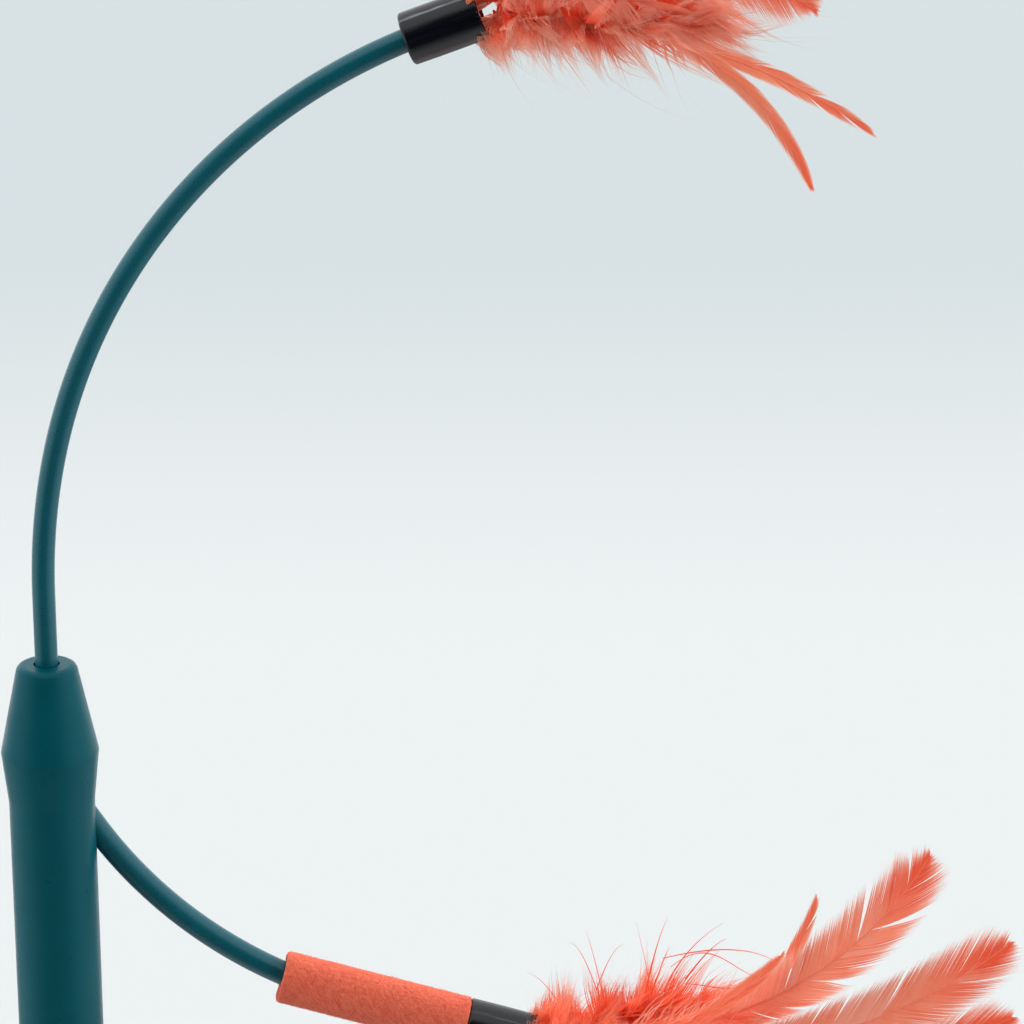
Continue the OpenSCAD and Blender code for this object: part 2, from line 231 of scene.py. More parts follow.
@dataclass(frozen=True)
class Lure:
    """Axes of a lure: along it out of the ferrule, back from the viewer and up from its axis."""

    mouth: Station
    plane_y: float
    depth: float = 27.4
    free_depth: float = 15.0
    free_height: float = 9.0
    least_height: float = 0.4

    def place(self, local: np.ndarray) -> np.ndarray:
        """Places local points.

        Args:
            local: Points as (along, back, up).

        Returns:
            The places in metres.
        """
        angle = self.mouth.heading * DEGREE
        along = np.array([math.cos(angle), 0, math.sin(angle)])
        up = np.array([-math.sin(angle), 0, math.cos(angle)])
        origin = np.array([self.mouth.x, self.plane_y, self.mouth.z])
        return (origin + local[..., :1] * along + local[..., 1:2] * [0, 1, 0] + local[..., 2:3] * up) * MM

    def held_in(self, places: np.ndarray) -> np.ndarray:
        """Draws loose down in, so that it stays in the CAD model's depth and above the floor.

        Args:
            places: Points in metres.

        Returns:
            The points, those far out drawn in smoothly.
        """
        held = places / MM
        aside = held[..., 1] - self.plane_y
        room, drop = self.depth - self.free_depth, self.free_height - self.least_height
        past = np.maximum(np.abs(aside) - self.free_depth, 0)
        held[..., 1] = self.plane_y + np.sign(aside) * (np.abs(aside) - past + room * np.tanh(past / room))
        low = np.maximum(self.free_height - held[..., 2], 0)
        held[..., 2] += low - drop * np.tanh(low / drop)
        return held * MM


@dataclass
class Shell:
    """Vertices, faces and vertex attributes of one mesh in the making."""

    points: list = field(default_factory=list)
    quads: list = field(default_factory=list)
    triangles: list = field(default_factory=list)
    quad_slots: list = field(default_factory=list)
    triangle_slots: list = field(default_factory=list)
    flat: list = field(default_factory=list)
    values: dict = field(default_factory=dict)
    count: int = 0

    def add(self, points: np.ndarray, quads: np.ndarray, triangles: np.ndarray, slot: int = 0,
            **values: np.ndarray) -> None:
        """Adds a block of geometry.

        Args:
            points: Vertices, in metres.
            quads: Rows of four indices into points.
            triangles: Rows of three indices into points.
            slot: Material slot of the block's faces.
            **values: One number for each vertex, by the attribute's name.
        """
        points = points.reshape(-1, 3)
        quads, triangles = np.asarray(quads, int).reshape(-1, 4), np.asarray(triangles, int).reshape(-1, 3)
        for name, numbers in values.items():
            blocks = self.values.setdefault(name, [])
            missing = self.count - sum(len(b) for b in blocks)
            blocks += [np.zeros(missing), np.asarray(numbers, float).ravel()]
        self.points.append(points)
        self.quads.append(quads + self.count)
        self.triangles.append(triangles + self.count)
        self.quad_slots.append(np.full(len(quads), slot))
        self.triangle_slots.append(np.full(len(triangles), slot))
        self.count += len(points)

    def build(self, name: str, materials: list) -> bpy.types.Object:
        """Makes the object.

        Args:
            name: Name of the piece.
            materials: Materials, one for each slot.

        Returns:
            The object, smooth shaded.
        """
        points, quads = np.vstack(self.points), np.vstack(self.quads)
        triangles = np.vstack(self.triangles)
        mesh = bpy.data.meshes.new(name)
        mesh.vertices.add(len(points))
        mesh.vertices.foreach_set("co", points.astype(np.float32).ravel())
        corners = np.concatenate([quads.ravel(), triangles.ravel()])
        mesh.loops.add(len(corners))
        mesh.loops.foreach_set("vertex_index", corners.astype(np.int32))
        starts = np.concatenate([np.arange(len(quads)) * 4, quads.size + np.arange(len(triangles)) * 3])
        mesh.polygons.add(len(starts))
        mesh.polygons.foreach_set("loop_start", starts.astype(np.int32))
        slots = np.concatenate(self.quad_slots + self.triangle_slots)
        mesh.polygons.foreach_set("material_index", slots.astype(np.int32))
        smooth = np.ones(len(starts), bool)
        smooth[self.flat] = False
        mesh.polygons.foreach_set("use_smooth", smooth)
        mesh.update(calc_edges=True)
        mesh.validate()
        for key, blocks in self.values.items():
            numbers = np.concatenate(blocks)
            numbers = np.concatenate([numbers, np.zeros(len(points) - len(numbers))])
            attribute = mesh.attributes.new(key, "FLOAT", "POINT")
            attribute.data.foreach_set("value", numbers.astype(np.float32))
        for material in materials:
            mesh.materials.append(material)
        piece = bpy.data.objects.new(name, mesh)
        bpy.context.scene.collection.objects.link(piece)
        return piece


def ring_faces(rings: int, around: int) -> np.ndarray:
    """Quads that join closed rings of vertices one after another.

    Args:
        rings: Number of rings.
        around: Number of vertices in each.

    Returns:
        Rows of four indices.
    """
    i = np.arange(rings - 1)[:, None] * around
    j = np.arange(around)[None, :]
    k = (j + 1) % around
    return np.stack([i + j, i + k, i + around + k, i + around + j], axis=-1).reshape(-1, 4)


def loop_faces(rings: int, around: int) -> np.ndarray:
    """Quads that join closed rings one after another and the last with the first again.

    Args:
        rings: Number of rings.
        around: Number of vertices in each.

    Returns:
        Rows of four indices.
    """
    return ring_faces(rings + 1, around) % (rings * around)


def full_turn(steps: int) -> np.ndarray:
    """Angles of even steps once round."""
    return np.arange(steps) * 2 * math.pi / steps


def sum_before(steps: np.ndarray) -> np.ndarray:
    """Sum of the steps before each one, along the second axis."""
    return np.concatenate([np.zeros_like(steps[:, :1]), np.cumsum(steps, axis=1)[:, :-1]], axis=1)


def add_strands(shell: Shell, paths: np.ndarray, half_widths: np.ndarray, across: np.ndarray,
                ridge: np.ndarray, slot: int = 0, **values: np.ndarray) -> None:
    """Adds strands as closed blades of three sides.

    Args:
        shell: Mesh that gets them.
        paths: Middle points in metres, strand by point by axis.
        half_widths: Half widths in metres, strand by point.
        across: Directions of the width, as paths.
        ridge: Way from the middle to the third edge in metres, as paths.
        slot: Material slot.
        **values: Vertex attributes, strand by point.
    """
    strands, steps = paths.shape[:2]
    side = across * half_widths[..., None]
    points = np.stack([paths - side, paths + side, paths + ridge], axis=2)
    base = np.arange(strands)[:, None] * steps * 3
    step = np.arange(steps - 1)[None, :] * 3
    ring = (base + step)[..., None]
    quads = []
    for a, b in ((0, 1), (1, 2), (2, 0)):
        quads.append(np.concatenate([ring + a, ring + b, ring + 3 + b, ring + 3 + a], axis=-1))
    first, last = base + 0, base + (steps - 1) * 3
    ends = np.concatenate([
        np.concatenate([first + 1, first, first + 2], axis=-1),
        np.concatenate([last, last + 1, last + 2], axis=-1),
    ])
    spread = {key: np.repeat(v[..., None], 3, axis=2) for key, v in values.items()}
    shell.add(points, np.stack(quads, axis=2).reshape(-1, 4), ends, slot, **spread)


def add_ribbons(shell: Shell, paths: np.ndarray, half_widths: np.ndarray, across: np.ndarray,
                slot: int = 0, **values: np.ndarray) -> None:
    """Adds strands as flat ribbons.

    Args:
        shell: Mesh that gets them.
        paths: Middle points in metres, strand by point by axis.
        half_widths: Half widths in metres, strand by point.
        across: Directions of the width, as paths.
        slot: Material slot.
        **values: Vertex attributes, strand by point.
    """
    strands, steps = paths.shape[:2]
    side = across * half_widths[..., None]
    points = np.stack([paths - side, paths + side], axis=2)
    ring = (np.arange(strands)[:, None] * steps + np.arange(steps - 1)[None, :]).ravel() * 2
    quads = np.stack([ring, ring + 1, ring + 3, ring + 2], axis=-1)
    spread = {key: np.repeat(v[..., None], 2, axis=2) for key, v in values.items()}
    shell.add(points, quads, NO_TRIANGLES, slot, **spread)


def add_tube(shell: Shell, centres: np.ndarray, sideways: np.ndarray, upward: np.ndarray,
             radii: np.ndarray, around: int, slot: int = 0, **values: np.ndarray) -> None:
    """Adds a tube with closed ends.

    Args:
        shell: Mesh that gets it.
        centres: Middle points in metres.
        sideways: Unit vectors across the tube at each point.
        upward: Unit vectors across the tube and across sideways.
        radii: Radius in metres at each point, or at each point and place round it.
        around: Number of vertices round the tube.
        slot: Material slot.
        **values: Vertex attributes, one number for each point of the middle line.
    """
    turn = full_turn(around)[None, :, None]
    radii = np.broadcast_to(radii.reshape(len(centres), -1), (len(centres), around))
    ring = np.cos(turn) * sideways[:, None] + np.sin(turn) * upward[:, None]
    points = centres[:, None] + ring * radii[..., None]
    count = len(centres) * around
    fan = np.arange(around)
    following = (fan + 1) % around
    start = np.stack([following, fan, np.full(around, count)], axis=-1)
    last = (len(centres) - 1) * around
    end = np.stack([last + fan, last + following, np.full(around, count + 1)], axis=-1)
    points = np.vstack([points.reshape(-1, 3), centres[:1], centres[-1:]])
    spread = {
        key: np.concatenate([np.repeat(v, around), v[:1], v[-1:]]) for key, v in values.items()
    }
    shell.add(points, ring_faces(len(centres), around), np.vstack([start, end]), slot, **spread)


def add_stem(shell: Shell, centres: np.ndarray, beside: tuple, radii: np.ndarray, around: int,
             **values: np.ndarray) -> None:
    """Adds a tube with closed ends along a curved middle line.

    Args:
        shell: Mesh that gets it.
        centres: Middle points in metres.
        beside: A direction that the line nowhere follows.
        radii: Radius in metres at each point.
        around: Number of vertices round the tube.
        **values: Vertex attributes, one number for each point of the middle line.
    """
    tangent = unit(np.gradient(centres, axis=0))
    side = unit(np.cross(tangent, np.array(beside)))
    add_tube(shell, centres, side, np.cross(side, tangent), radii, around, **values)


def round_axis(along: np.ndarray, radius: np.ndarray, turn: np.ndarray, lift: float = 0.0) -> np.ndarray:
    """Local points round a lure's axis, in turns from its front over its top.

    Args:
        along: Distances along the axis.
        radius: Distances from it.
        turn: Angles round it.
        lift: Height of the middle above the axis.

    Returns:
        Points as (along, back, up).
    """
    parts = np.broadcast_arrays(along, -np.cos(turn) * radius, np.sin(turn) * radius + lift)
    return np.stack(parts, axis=-1)


# Finishes


def paint(red: float, green: float, blue: float) -> tuple:
    """Turns a colour as the eye reads it into the renderer's linear numbers.

    Args:
        red: Red, 0 to 255.
        green: Green, 0 to 255.
        blue: Blue, 0 to 255.

    Returns:
        Red, green, blue and opacity.
    """
    def linear(value: float) -> float:
        """One channel of the colour."""
        share = value / 255
        return share / 12.92 if share <= 0.04045 else ((share + 0.055) / 1.055) ** 2.4
    return (linear(red), linear(green), linear(blue), 1.0)


class Graph:
    """The node tree of a material or of the world, with short calls for the nodes that are used here."""

    def __init__(self, name: str, kept_in: object = None) -> None:
        """Starts an empty tree.

        Args:
            name: Name of the new material or world.
            kept_in: Blender's list that it is added to, or None for the materials.
        """
        self.owner = (bpy.data.materials if kept_in is None else kept_in).new(name)
        self.owner.use_nodes = True
        self.tree = self.owner.node_tree
        self.tree.nodes.clear()
        self.places = None

    def node(self, kind: str, settings: dict | None = None, **sockets: object) -> bpy.types.Node:
        """Adds a node.

        Args:
            kind: Type of the node.
            settings: Its properties by name.
            **sockets: Input values or output sockets to link. A name has _ for a space, and i0 is
                the first input.

        Returns:
            The node.
        """
        made = self.tree.nodes.new(kind)
        for key, value in (settings or {}).items():
            setattr(made, key, value)
        for key, value in sockets.items():
            numbered = key[0] == "i" and key[1:].isdigit()
            socket = made.inputs[int(key[1:]) if numbered else key.replace("_", " ")]
            if isinstance(value, bpy.types.NodeSocket):
                self.tree.links.new(value, socket)
            else:
                socket.default_value = value
        return made

    def object_places(self, stretch: tuple = (1, 1, 1), turn: tuple = (0, 0, 0)) -> bpy.types.NodeSocket:
        """Places on the object in millimetres, stretched and turned for a grain.

        Args:
            stretch: Scale of each axis.
            turn: Rotation in degrees.

        Returns:
            The vector socket.
        """
        if self.places is None:
            self.places = self.node("ShaderNodeTexCoord").outputs["Object"]
        turned = self.node(
            "ShaderNodeMapping", {"vector_type": "TEXTURE"},
            Vector=self.places, Rotation=tuple(a * DEGREE for a in turn),
        )
        return self.node(
            "ShaderNodeMapping", Vector=turned.outputs[0], Scale=tuple(1000 * s for s in stretch)
        ).outputs[0]

    def noise(self, vector: bpy.types.NodeSocket, scale: float, detail: float = 2.0,
              rough: float = 0.5, distortion: float = 0.0) -> bpy.types.NodeSocket:
        """Noise between 0 and 1.

        Args:
            vector: Places.
            scale: Waves to the millimetre.
            detail: Number of finer layers.
            rough: Share of each finer layer.
            distortion: How far the noise bends itself.

        Returns:
            The number's socket.
        """
        made = self.node(
            "ShaderNodeTexNoise", Vector=vector, Scale=scale, Detail=detail, Roughness=rough,
            Distortion=distortion,
        )
        return made.outputs["Fac"]

    def spread(self, value: bpy.types.NodeSocket, low: float, high: float, to_low: float = 0.0,
               to_high: float = 1.0, smooth: bool = False) -> bpy.types.NodeSocket:
        """Maps a value's range to another range and cuts off its ends.

        Args:
            value: The value.
            low: Start of its range.
            high: End of its range.
            to_low: What the start becomes.
            to_high: What the end becomes.
            smooth: Whether it rises as an S.

        Returns:
            The number's socket.
        """
        settings = {"interpolation_type": "SMOOTHSTEP"} if smooth else None
        return self.node(
            "ShaderNodeMapRange", settings, Value=value, From_Min=low, From_Max=high, To_Min=to_low,
            To_Max=to_high,
        ).outputs[0]

    def maths(self, a: object, b: object, operation: str = "ADD") -> bpy.types.NodeSocket:
        """Two numbers put together by a math operation."""
        return self.node("ShaderNodeMath", {"operation": operation}, i0=a, i1=b).outputs[0]

    def blend(self, share: object, low: object, high: object) -> bpy.types.NodeSocket:
        """Two colours mixed by a share."""
        return self.node("ShaderNodeMix", {"data_type": "RGBA"}, i0=share, i6=low, i7=high).outputs[2]

    def attribute(self, name: str) -> bpy.types.NodeSocket:
        """A vertex attribute as a number."""
        return self.node("ShaderNodeAttribute", {"attribute_name": name}).outputs["Fac"]

    def bump(self, height: bpy.types.NodeSocket, depth: float,
             strength: float = 1.0) -> bpy.types.NodeSocket:
        """A normal for a relief of the given depth in millimetres."""
        made = self.node("ShaderNodeBump", Height=height, Distance=depth * MM, Strength=strength)
        return made.outputs[0]

    def finish(self, shader: bpy.types.Node, output: str = "ShaderNodeOutputMaterial") -> bpy.types.ID:
        """Links the shader to the output.

        Args:
            shader: The last shader.
            output: Type of the output node.

        Returns:
            The material or world.
        """
        end = self.tree.nodes.new(output)
        self.tree.links.new(shader.outputs[0], end.inputs["Surface"])
        return self.owner

    def surface(self, **sockets: object) -> bpy.types.Material:
        """Finishes the material with one Principled shader, whose inputs are given as to node()."""
        return self.finish(self.node("ShaderNodeBsdfPrincipled", **sockets))

    def glowing(self, colour: bpy.types.NodeSocket, roughness: float, gloss: float,
                glow: float) -> bpy.types.Material:
        """Finishes the material as a thin layer that lets light through.

        Args:
            colour: Its colour.
            roughness: Roughness of its surface.
            gloss: Specular level of its surface.
            glow: Share of the light that goes through.

        Returns:
            The material.
        """
        front = self.node(
            "ShaderNodeBsdfPrincipled", Base_Color=colour, Roughness=roughness, Specular_IOR_Level=gloss,
        )
        through = self.node("ShaderNodeBsdfTranslucent", Color=colour)
        return self.finish(
            self.node("ShaderNodeMixShader", i0=glow, i1=front.outputs[0], i2=through.outputs[0])
        )


@dataclass(frozen=True)
class SoftMoulding:
    """Matte moulded elastomer or plastic, with a fine blasted grain and slight mottling."""

    name: str
    colour: tuple
    pale: tuple
    gloss_roughness: float = 0.5
    grain_depth: float = 0.02
    gloss: float = 0.15

    def make(self) -> bpy.types.Material:
        """Builds the material.

        Returns:
            The material.
        """
        graph = Graph(self.name)
        places = graph.object_places()
        cloud = graph.noise(places, 0.09, 4)
        speck = graph.noise(places, 2.6, 2)
        share = graph.maths(
            graph.spread(cloud, 0.3, 0.7, 0.1, 0.7), graph.spread(speck, 0.3, 0.7, 0, 0.25)
        )
        rough = graph.spread(
            graph.noise(places, 0.5, 3), 0.3, 0.7, self.gloss_roughness - 0.06, self.gloss_roughness + 0.06
        )
        grain = graph.noise(places, 5.5, 2)
        return graph.surface(
            Base_Color=graph.blend(share, self.colour, self.pale), Roughness=rough,
            Specular_IOR_Level=self.gloss, Normal=graph.bump(grain, self.grain_depth, 0.3),
        )


@dataclass(frozen=True)
class RodCoat:
    """Satin coat of the rods, drawn smooth, with faint streaks and scuffs."""

    name: str
    colour: tuple
    pale: tuple
    roughness: tuple = (0.26, 0.33)
    gloss: float = 0.5
    ripple: float = 0.012

    def make(self) -> bpy.types.Material:
        """Builds the material.

        Returns:
            The material.
        """
        graph = Graph(self.name)
        places = graph.object_places()
        cloud = graph.noise(places, 0.07, 4)
        speck = graph.noise(places, 1.7, 3)
        share = graph.maths(
            graph.spread(cloud, 0.35, 0.7, 0, 0.5), graph.spread(speck, 0.5, 0.8, 0, 0.15)
        )
        wave = graph.noise(places, 0.5, 2)
        return graph.surface(
            Base_Color=graph.blend(share, self.colour, self.pale),
            Roughness=graph.spread(speck, 0.3, 0.7, *self.roughness), Specular_IOR_Level=self.gloss,
            Normal=graph.bump(wave, self.ripple, 0.5),
        )


@dataclass(frozen=True)
class ShrinkTube:
    """Glossy black shrink tube with lengthwise drawn lines and a soft painted highlight streak on its top.
    """

    name: str
    heading: float
    colour: tuple = paint(9, 12, 19)
    drawn: tuple = paint(15, 19, 27)
    # Pale grey of the painted highlight streak.
    painted_glint: tuple = paint(138, 145, 150)
    roughness: tuple = (0.16, 0.3)
    relief: float = 0.05

    def make(self) -> bpy.types.Material:
        """Builds the material.

        Returns:
            The material.
        """
        graph = Graph(self.name)
        along = graph.object_places((0.05, 1, 1), (0, -self.heading, 0))
        lines = graph.noise(along, 1.1, 4, 0.6)
        fine = graph.noise(graph.object_places(), 3.2, 3, 0.6)
        dashes = graph.noise(graph.object_places((0.09, 1, 1), (0, -self.heading, 0)), 1.6, 1, 0.4)
        # Painted highlight: a pale dotted streak where the ferrule's attribute marks the top of the tube.
        glint_line = graph.maths(
            graph.spread(graph.attribute("scuff"), 0.1, 1.0), graph.spread(dashes, 0.36, 0.62), "MULTIPLY"
        )
        tone = graph.blend(graph.spread(lines, 0.42, 0.72), self.colour, self.drawn)
        rough = graph.spread(lines, 0.3, 0.7, *self.roughness)
        height = graph.maths(lines, graph.maths(fine, 0.25, "MULTIPLY"))
        return graph.surface(
            Base_Color=graph.blend(glint_line, tone, self.painted_glint), Roughness=rough,
            Normal=graph.bump(height, self.relief, 0.5),
        )


@dataclass(frozen=True)
class FeltCloth:
    """Pressed wool felt with a slanting grain and short loose fibres."""

    name: str
    heading: float
    colour: tuple = paint(243, 119, 90)
    deep: tuple = paint(227, 87, 64)
    pale: tuple = paint(255, 172, 146)
    sheen: tuple = paint(255, 190, 170)
    grain_slant: float = 46.0
    fibre_slant: float = 15.0
    relief: float = 0.16

    def make(self) -> bpy.types.Material:
        """Builds the material.

        Returns:
            The material.
        """
        graph = Graph(self.name)
        slanting = graph.object_places((0.22, 1, 1.2), (0, -self.heading + self.grain_slant, 0))
        grain = graph.noise(slanting, 1.5, 4, 0.6, 0.3)
        flatter = graph.object_places((0.25, 1, 1.3), (0, -self.heading + self.fibre_slant, 0))
        fibre = graph.noise(flatter, 2.6, 3, 0.6, 0.5)
        speck = graph.noise(graph.object_places(), 4.2, 2)
        share = graph.maths(graph.spread(grain, 0.36, 0.64), graph.spread(fibre, 0.35, 0.7, -0.15, 0.3))
        tone = graph.blend(share, self.deep, self.colour)
        tone = graph.blend(graph.spread(speck, 0.62, 0.74, 0, 0.65), tone, self.pale)
        tone = graph.blend(graph.spread(graph.attribute("fuzz"), 0, 1, 0, 0.55), tone, self.pale)
        height = graph.maths(grain, graph.maths(fibre, speck))
        return graph.surface(
            Base_Color=tone, Roughness=0.95, Specular_IOR_Level=0.15,
            Sheen_Weight=0.35, Sheen_Roughness=0.6, Sheen_Tint=self.sheen,
            Normal=graph.bump(height, self.relief, 0.7),
        )


@dataclass(frozen=True)
class Metal:
    """Bare metal with fine drawn lines."""

    name: str
    colour: tuple
    roughness: float
    bright: tuple = paint(240, 238, 230)
    relief: float = 0.01

    def make(self) -> bpy.types.Material:
        """Builds the material.

        Returns:
            The material.
        """
        graph = Graph(self.name)
        lines = graph.noise(graph.object_places((1, 1, 0.1)), 4, 3)
        return graph.surface(
            Base_Color=graph.blend(graph.spread(lines, 0.3, 0.7, 0, 0.4), self.colour, self.bright),
            Metallic=1.0,
            Roughness=graph.spread(lines, 0.3, 0.7, self.roughness, self.roughness + 0.15),
            Normal=graph.bump(lines, self.relief),
        )


@dataclass(frozen=True)
class Thread:
    """Wound binding thread: close turns with a twist in each, and painted shade in the grooves between
    turns.
    """

    name: str
    heading: float
    colour: tuple = paint(206, 66, 48)
    groove_shade: tuple = paint(120, 30, 22)
    winding: float = 0.65
    relief: float = 0.15

    def make(self) -> bpy.types.Material:
        """Builds the material.

        Returns:
            The material.
        """
        graph = Graph(self.name)
        along = graph.object_places((1, 1, 1), (0, -self.heading, 0))
        turns = graph.node(
            "ShaderNodeTexWave", {"wave_type": "BANDS", "bands_direction": "X"},
            Vector=along, Scale=self.winding, Distortion=0.8, Detail=1.0,
        ).outputs["Fac"]
        twist = graph.noise(along, 3.5, 2)
        # Painted shade: the dark groove colour where the turns meet.
        tone = graph.blend(graph.maths(turns, twist, "MULTIPLY"), self.groove_shade, self.colour)
        return graph.surface(
            Base_Color=tone, Roughness=0.7, Normal=graph.bump(graph.maths(turns, twist), self.relief),
        )


@dataclass(frozen=True)
class Resin:
    """Hardened glue with ripples and small bubbles."""

    name: str
    colour: tuple = paint(214, 128, 96)
    pale: tuple = paint(240, 190, 165)
    relief: float = 0.2

    def make(self) -> bpy.types.Material:
        """Builds the material.

        Returns:
            The material.
        """
        graph = Graph(self.name)
        places = graph.object_places()
        ripple = graph.noise(places, 0.6, 3)
        bubble = graph.node("ShaderNodeTexVoronoi", Vector=places, Scale=1.6).outputs["Distance"]
        tone = graph.blend(graph.spread(bubble, 0.0, 0.35), self.pale, self.colour)
        return graph.surface(
            Base_Color=tone, Roughness=0.25, Coat_Weight=0.4,
            Normal=graph.bump(graph.maths(ripple, bubble), self.relief),
        )


@dataclass(frozen=True)
class DyedFeather:
    """Dyed feather: barbs that glow with the light behind them, redder at the tip.

    It reads the vertex attributes along (rachis to edge), reach (quill to tip) and tone (by lock).
    """

    name: str
    colour: tuple = paint(255, 164, 134)
    deep: tuple = paint(250, 108, 74)
    pale: tuple = paint(255, 212, 196)
    glow: float = 0.5
    roughness: float = 0.55
    gloss: float = 0.3

    def make(self) -> bpy.types.Material:
        """Builds the material.

        Returns:
            The material.
        """
        graph = Graph(self.name)
        along, reach, tone = (graph.attribute(n) for n in ("along", "reach", "tone"))
        cloud = graph.noise(graph.object_places(), 0.16, 3)
        tip = graph.maths(
            graph.spread(reach, 0.76, 0.95), graph.spread(along, 0.35, 0.95, 1, 0.1), "MULTIPLY"
        )
        deeper = graph.maths(
            tip, graph.maths(graph.spread(tone, 0.6, 1.0, 0, 0.4), graph.spread(cloud, 0.5, 0.75, 0, 0.25))
        )
        paler = graph.maths(
            graph.spread(along, 0.5, 1.0, 0, 0.65), graph.spread(tone, 0.0, 0.4, 0.4, 0.0)
        )
        colour = graph.blend(graph.spread(deeper, 0, 1), self.colour, self.deep)
        colour = graph.blend(graph.spread(paler, 0, 1), colour, self.pale)
        return graph.glowing(colour, self.roughness, self.gloss, self.glow)


@dataclass(frozen=True)
class Rachis:
    """Shaft of a feather: pale at the quill and darker red along the vane."""

    name: str
    quill: tuple = paint(255, 186, 156)
    shaft: tuple = paint(255, 150, 118)
    speck: tuple = paint(232, 100, 72)
    relief: float = 0.03

    def make(self) -> bpy.types.Material:
        """Builds the material.

        Returns:
            The material.
        """
        graph = Graph(self.name)
        speck = graph.noise(graph.object_places((0.3, 1, 1)), 2.2, 2)
        colour = graph.blend(graph.spread(graph.attribute("reach"), 0.16, 0.42), self.quill, self.shaft)
        colour = graph.blend(graph.spread(speck, 0.4, 0.7, 0, 0.35), colour, self.speck)
        return graph.surface(
            Base_Color=colour, Roughness=0.4, Normal=graph.bump(speck, self.relief),
        )


@dataclass(frozen=True)
class DyedDown:
    """Dyed marabou down: coral outside, pale at the loose ends, and deep red in the core as painted shade
    where the locks shade each other; some locks are deeper red at random.
    """

    name: str
    # Deep red of the painted shade in the core.
    core: tuple = paint(252, 100, 66)
    colour: tuple = paint(255, 160, 122)
    pale: tuple = paint(255, 220, 204)
    wisp: tuple = paint(232, 132, 112)
    glow: float = 0.5
    roughness: float = 0.7
    gloss: float = 0.2
    pale_from: float = 0.38
    pale_share: float = 0.9
    pale_locks: float = 0.7

    def make(self) -> bpy.types.Material:
        """Builds the material.

        Returns:
            The material.
        """
        graph = Graph(self.name)
        along, tone = graph.attribute("along"), graph.attribute("tone")
        # Painted shade: the deep red near the stem, reaching further out on locks of higher tone.
        outer = graph.spread(graph.maths(along, graph.spread(tone, 0, 0.8, 0.14, -0.22)), 0.04, 0.34)
        colour = graph.blend(outer, self.core, self.colour)
        pale_end = graph.spread(along, self.pale_from, 1.0, 0, self.pale_share)
        colour = graph.blend(pale_end, colour, self.pale)
        colour = graph.blend(graph.spread(tone, 0.08, 0.34, self.pale_locks, 0), colour, self.pale)
        colour = graph.blend(graph.spread(tone, 0.48, 0.7, 0, 0.6), colour, self.core)
        colour = graph.blend(graph.spread(tone, 0.8, 0.84, 0, 0.8), colour, self.wisp)
        return graph.glowing(colour, self.roughness, self.gloss, self.glow)


# Studio


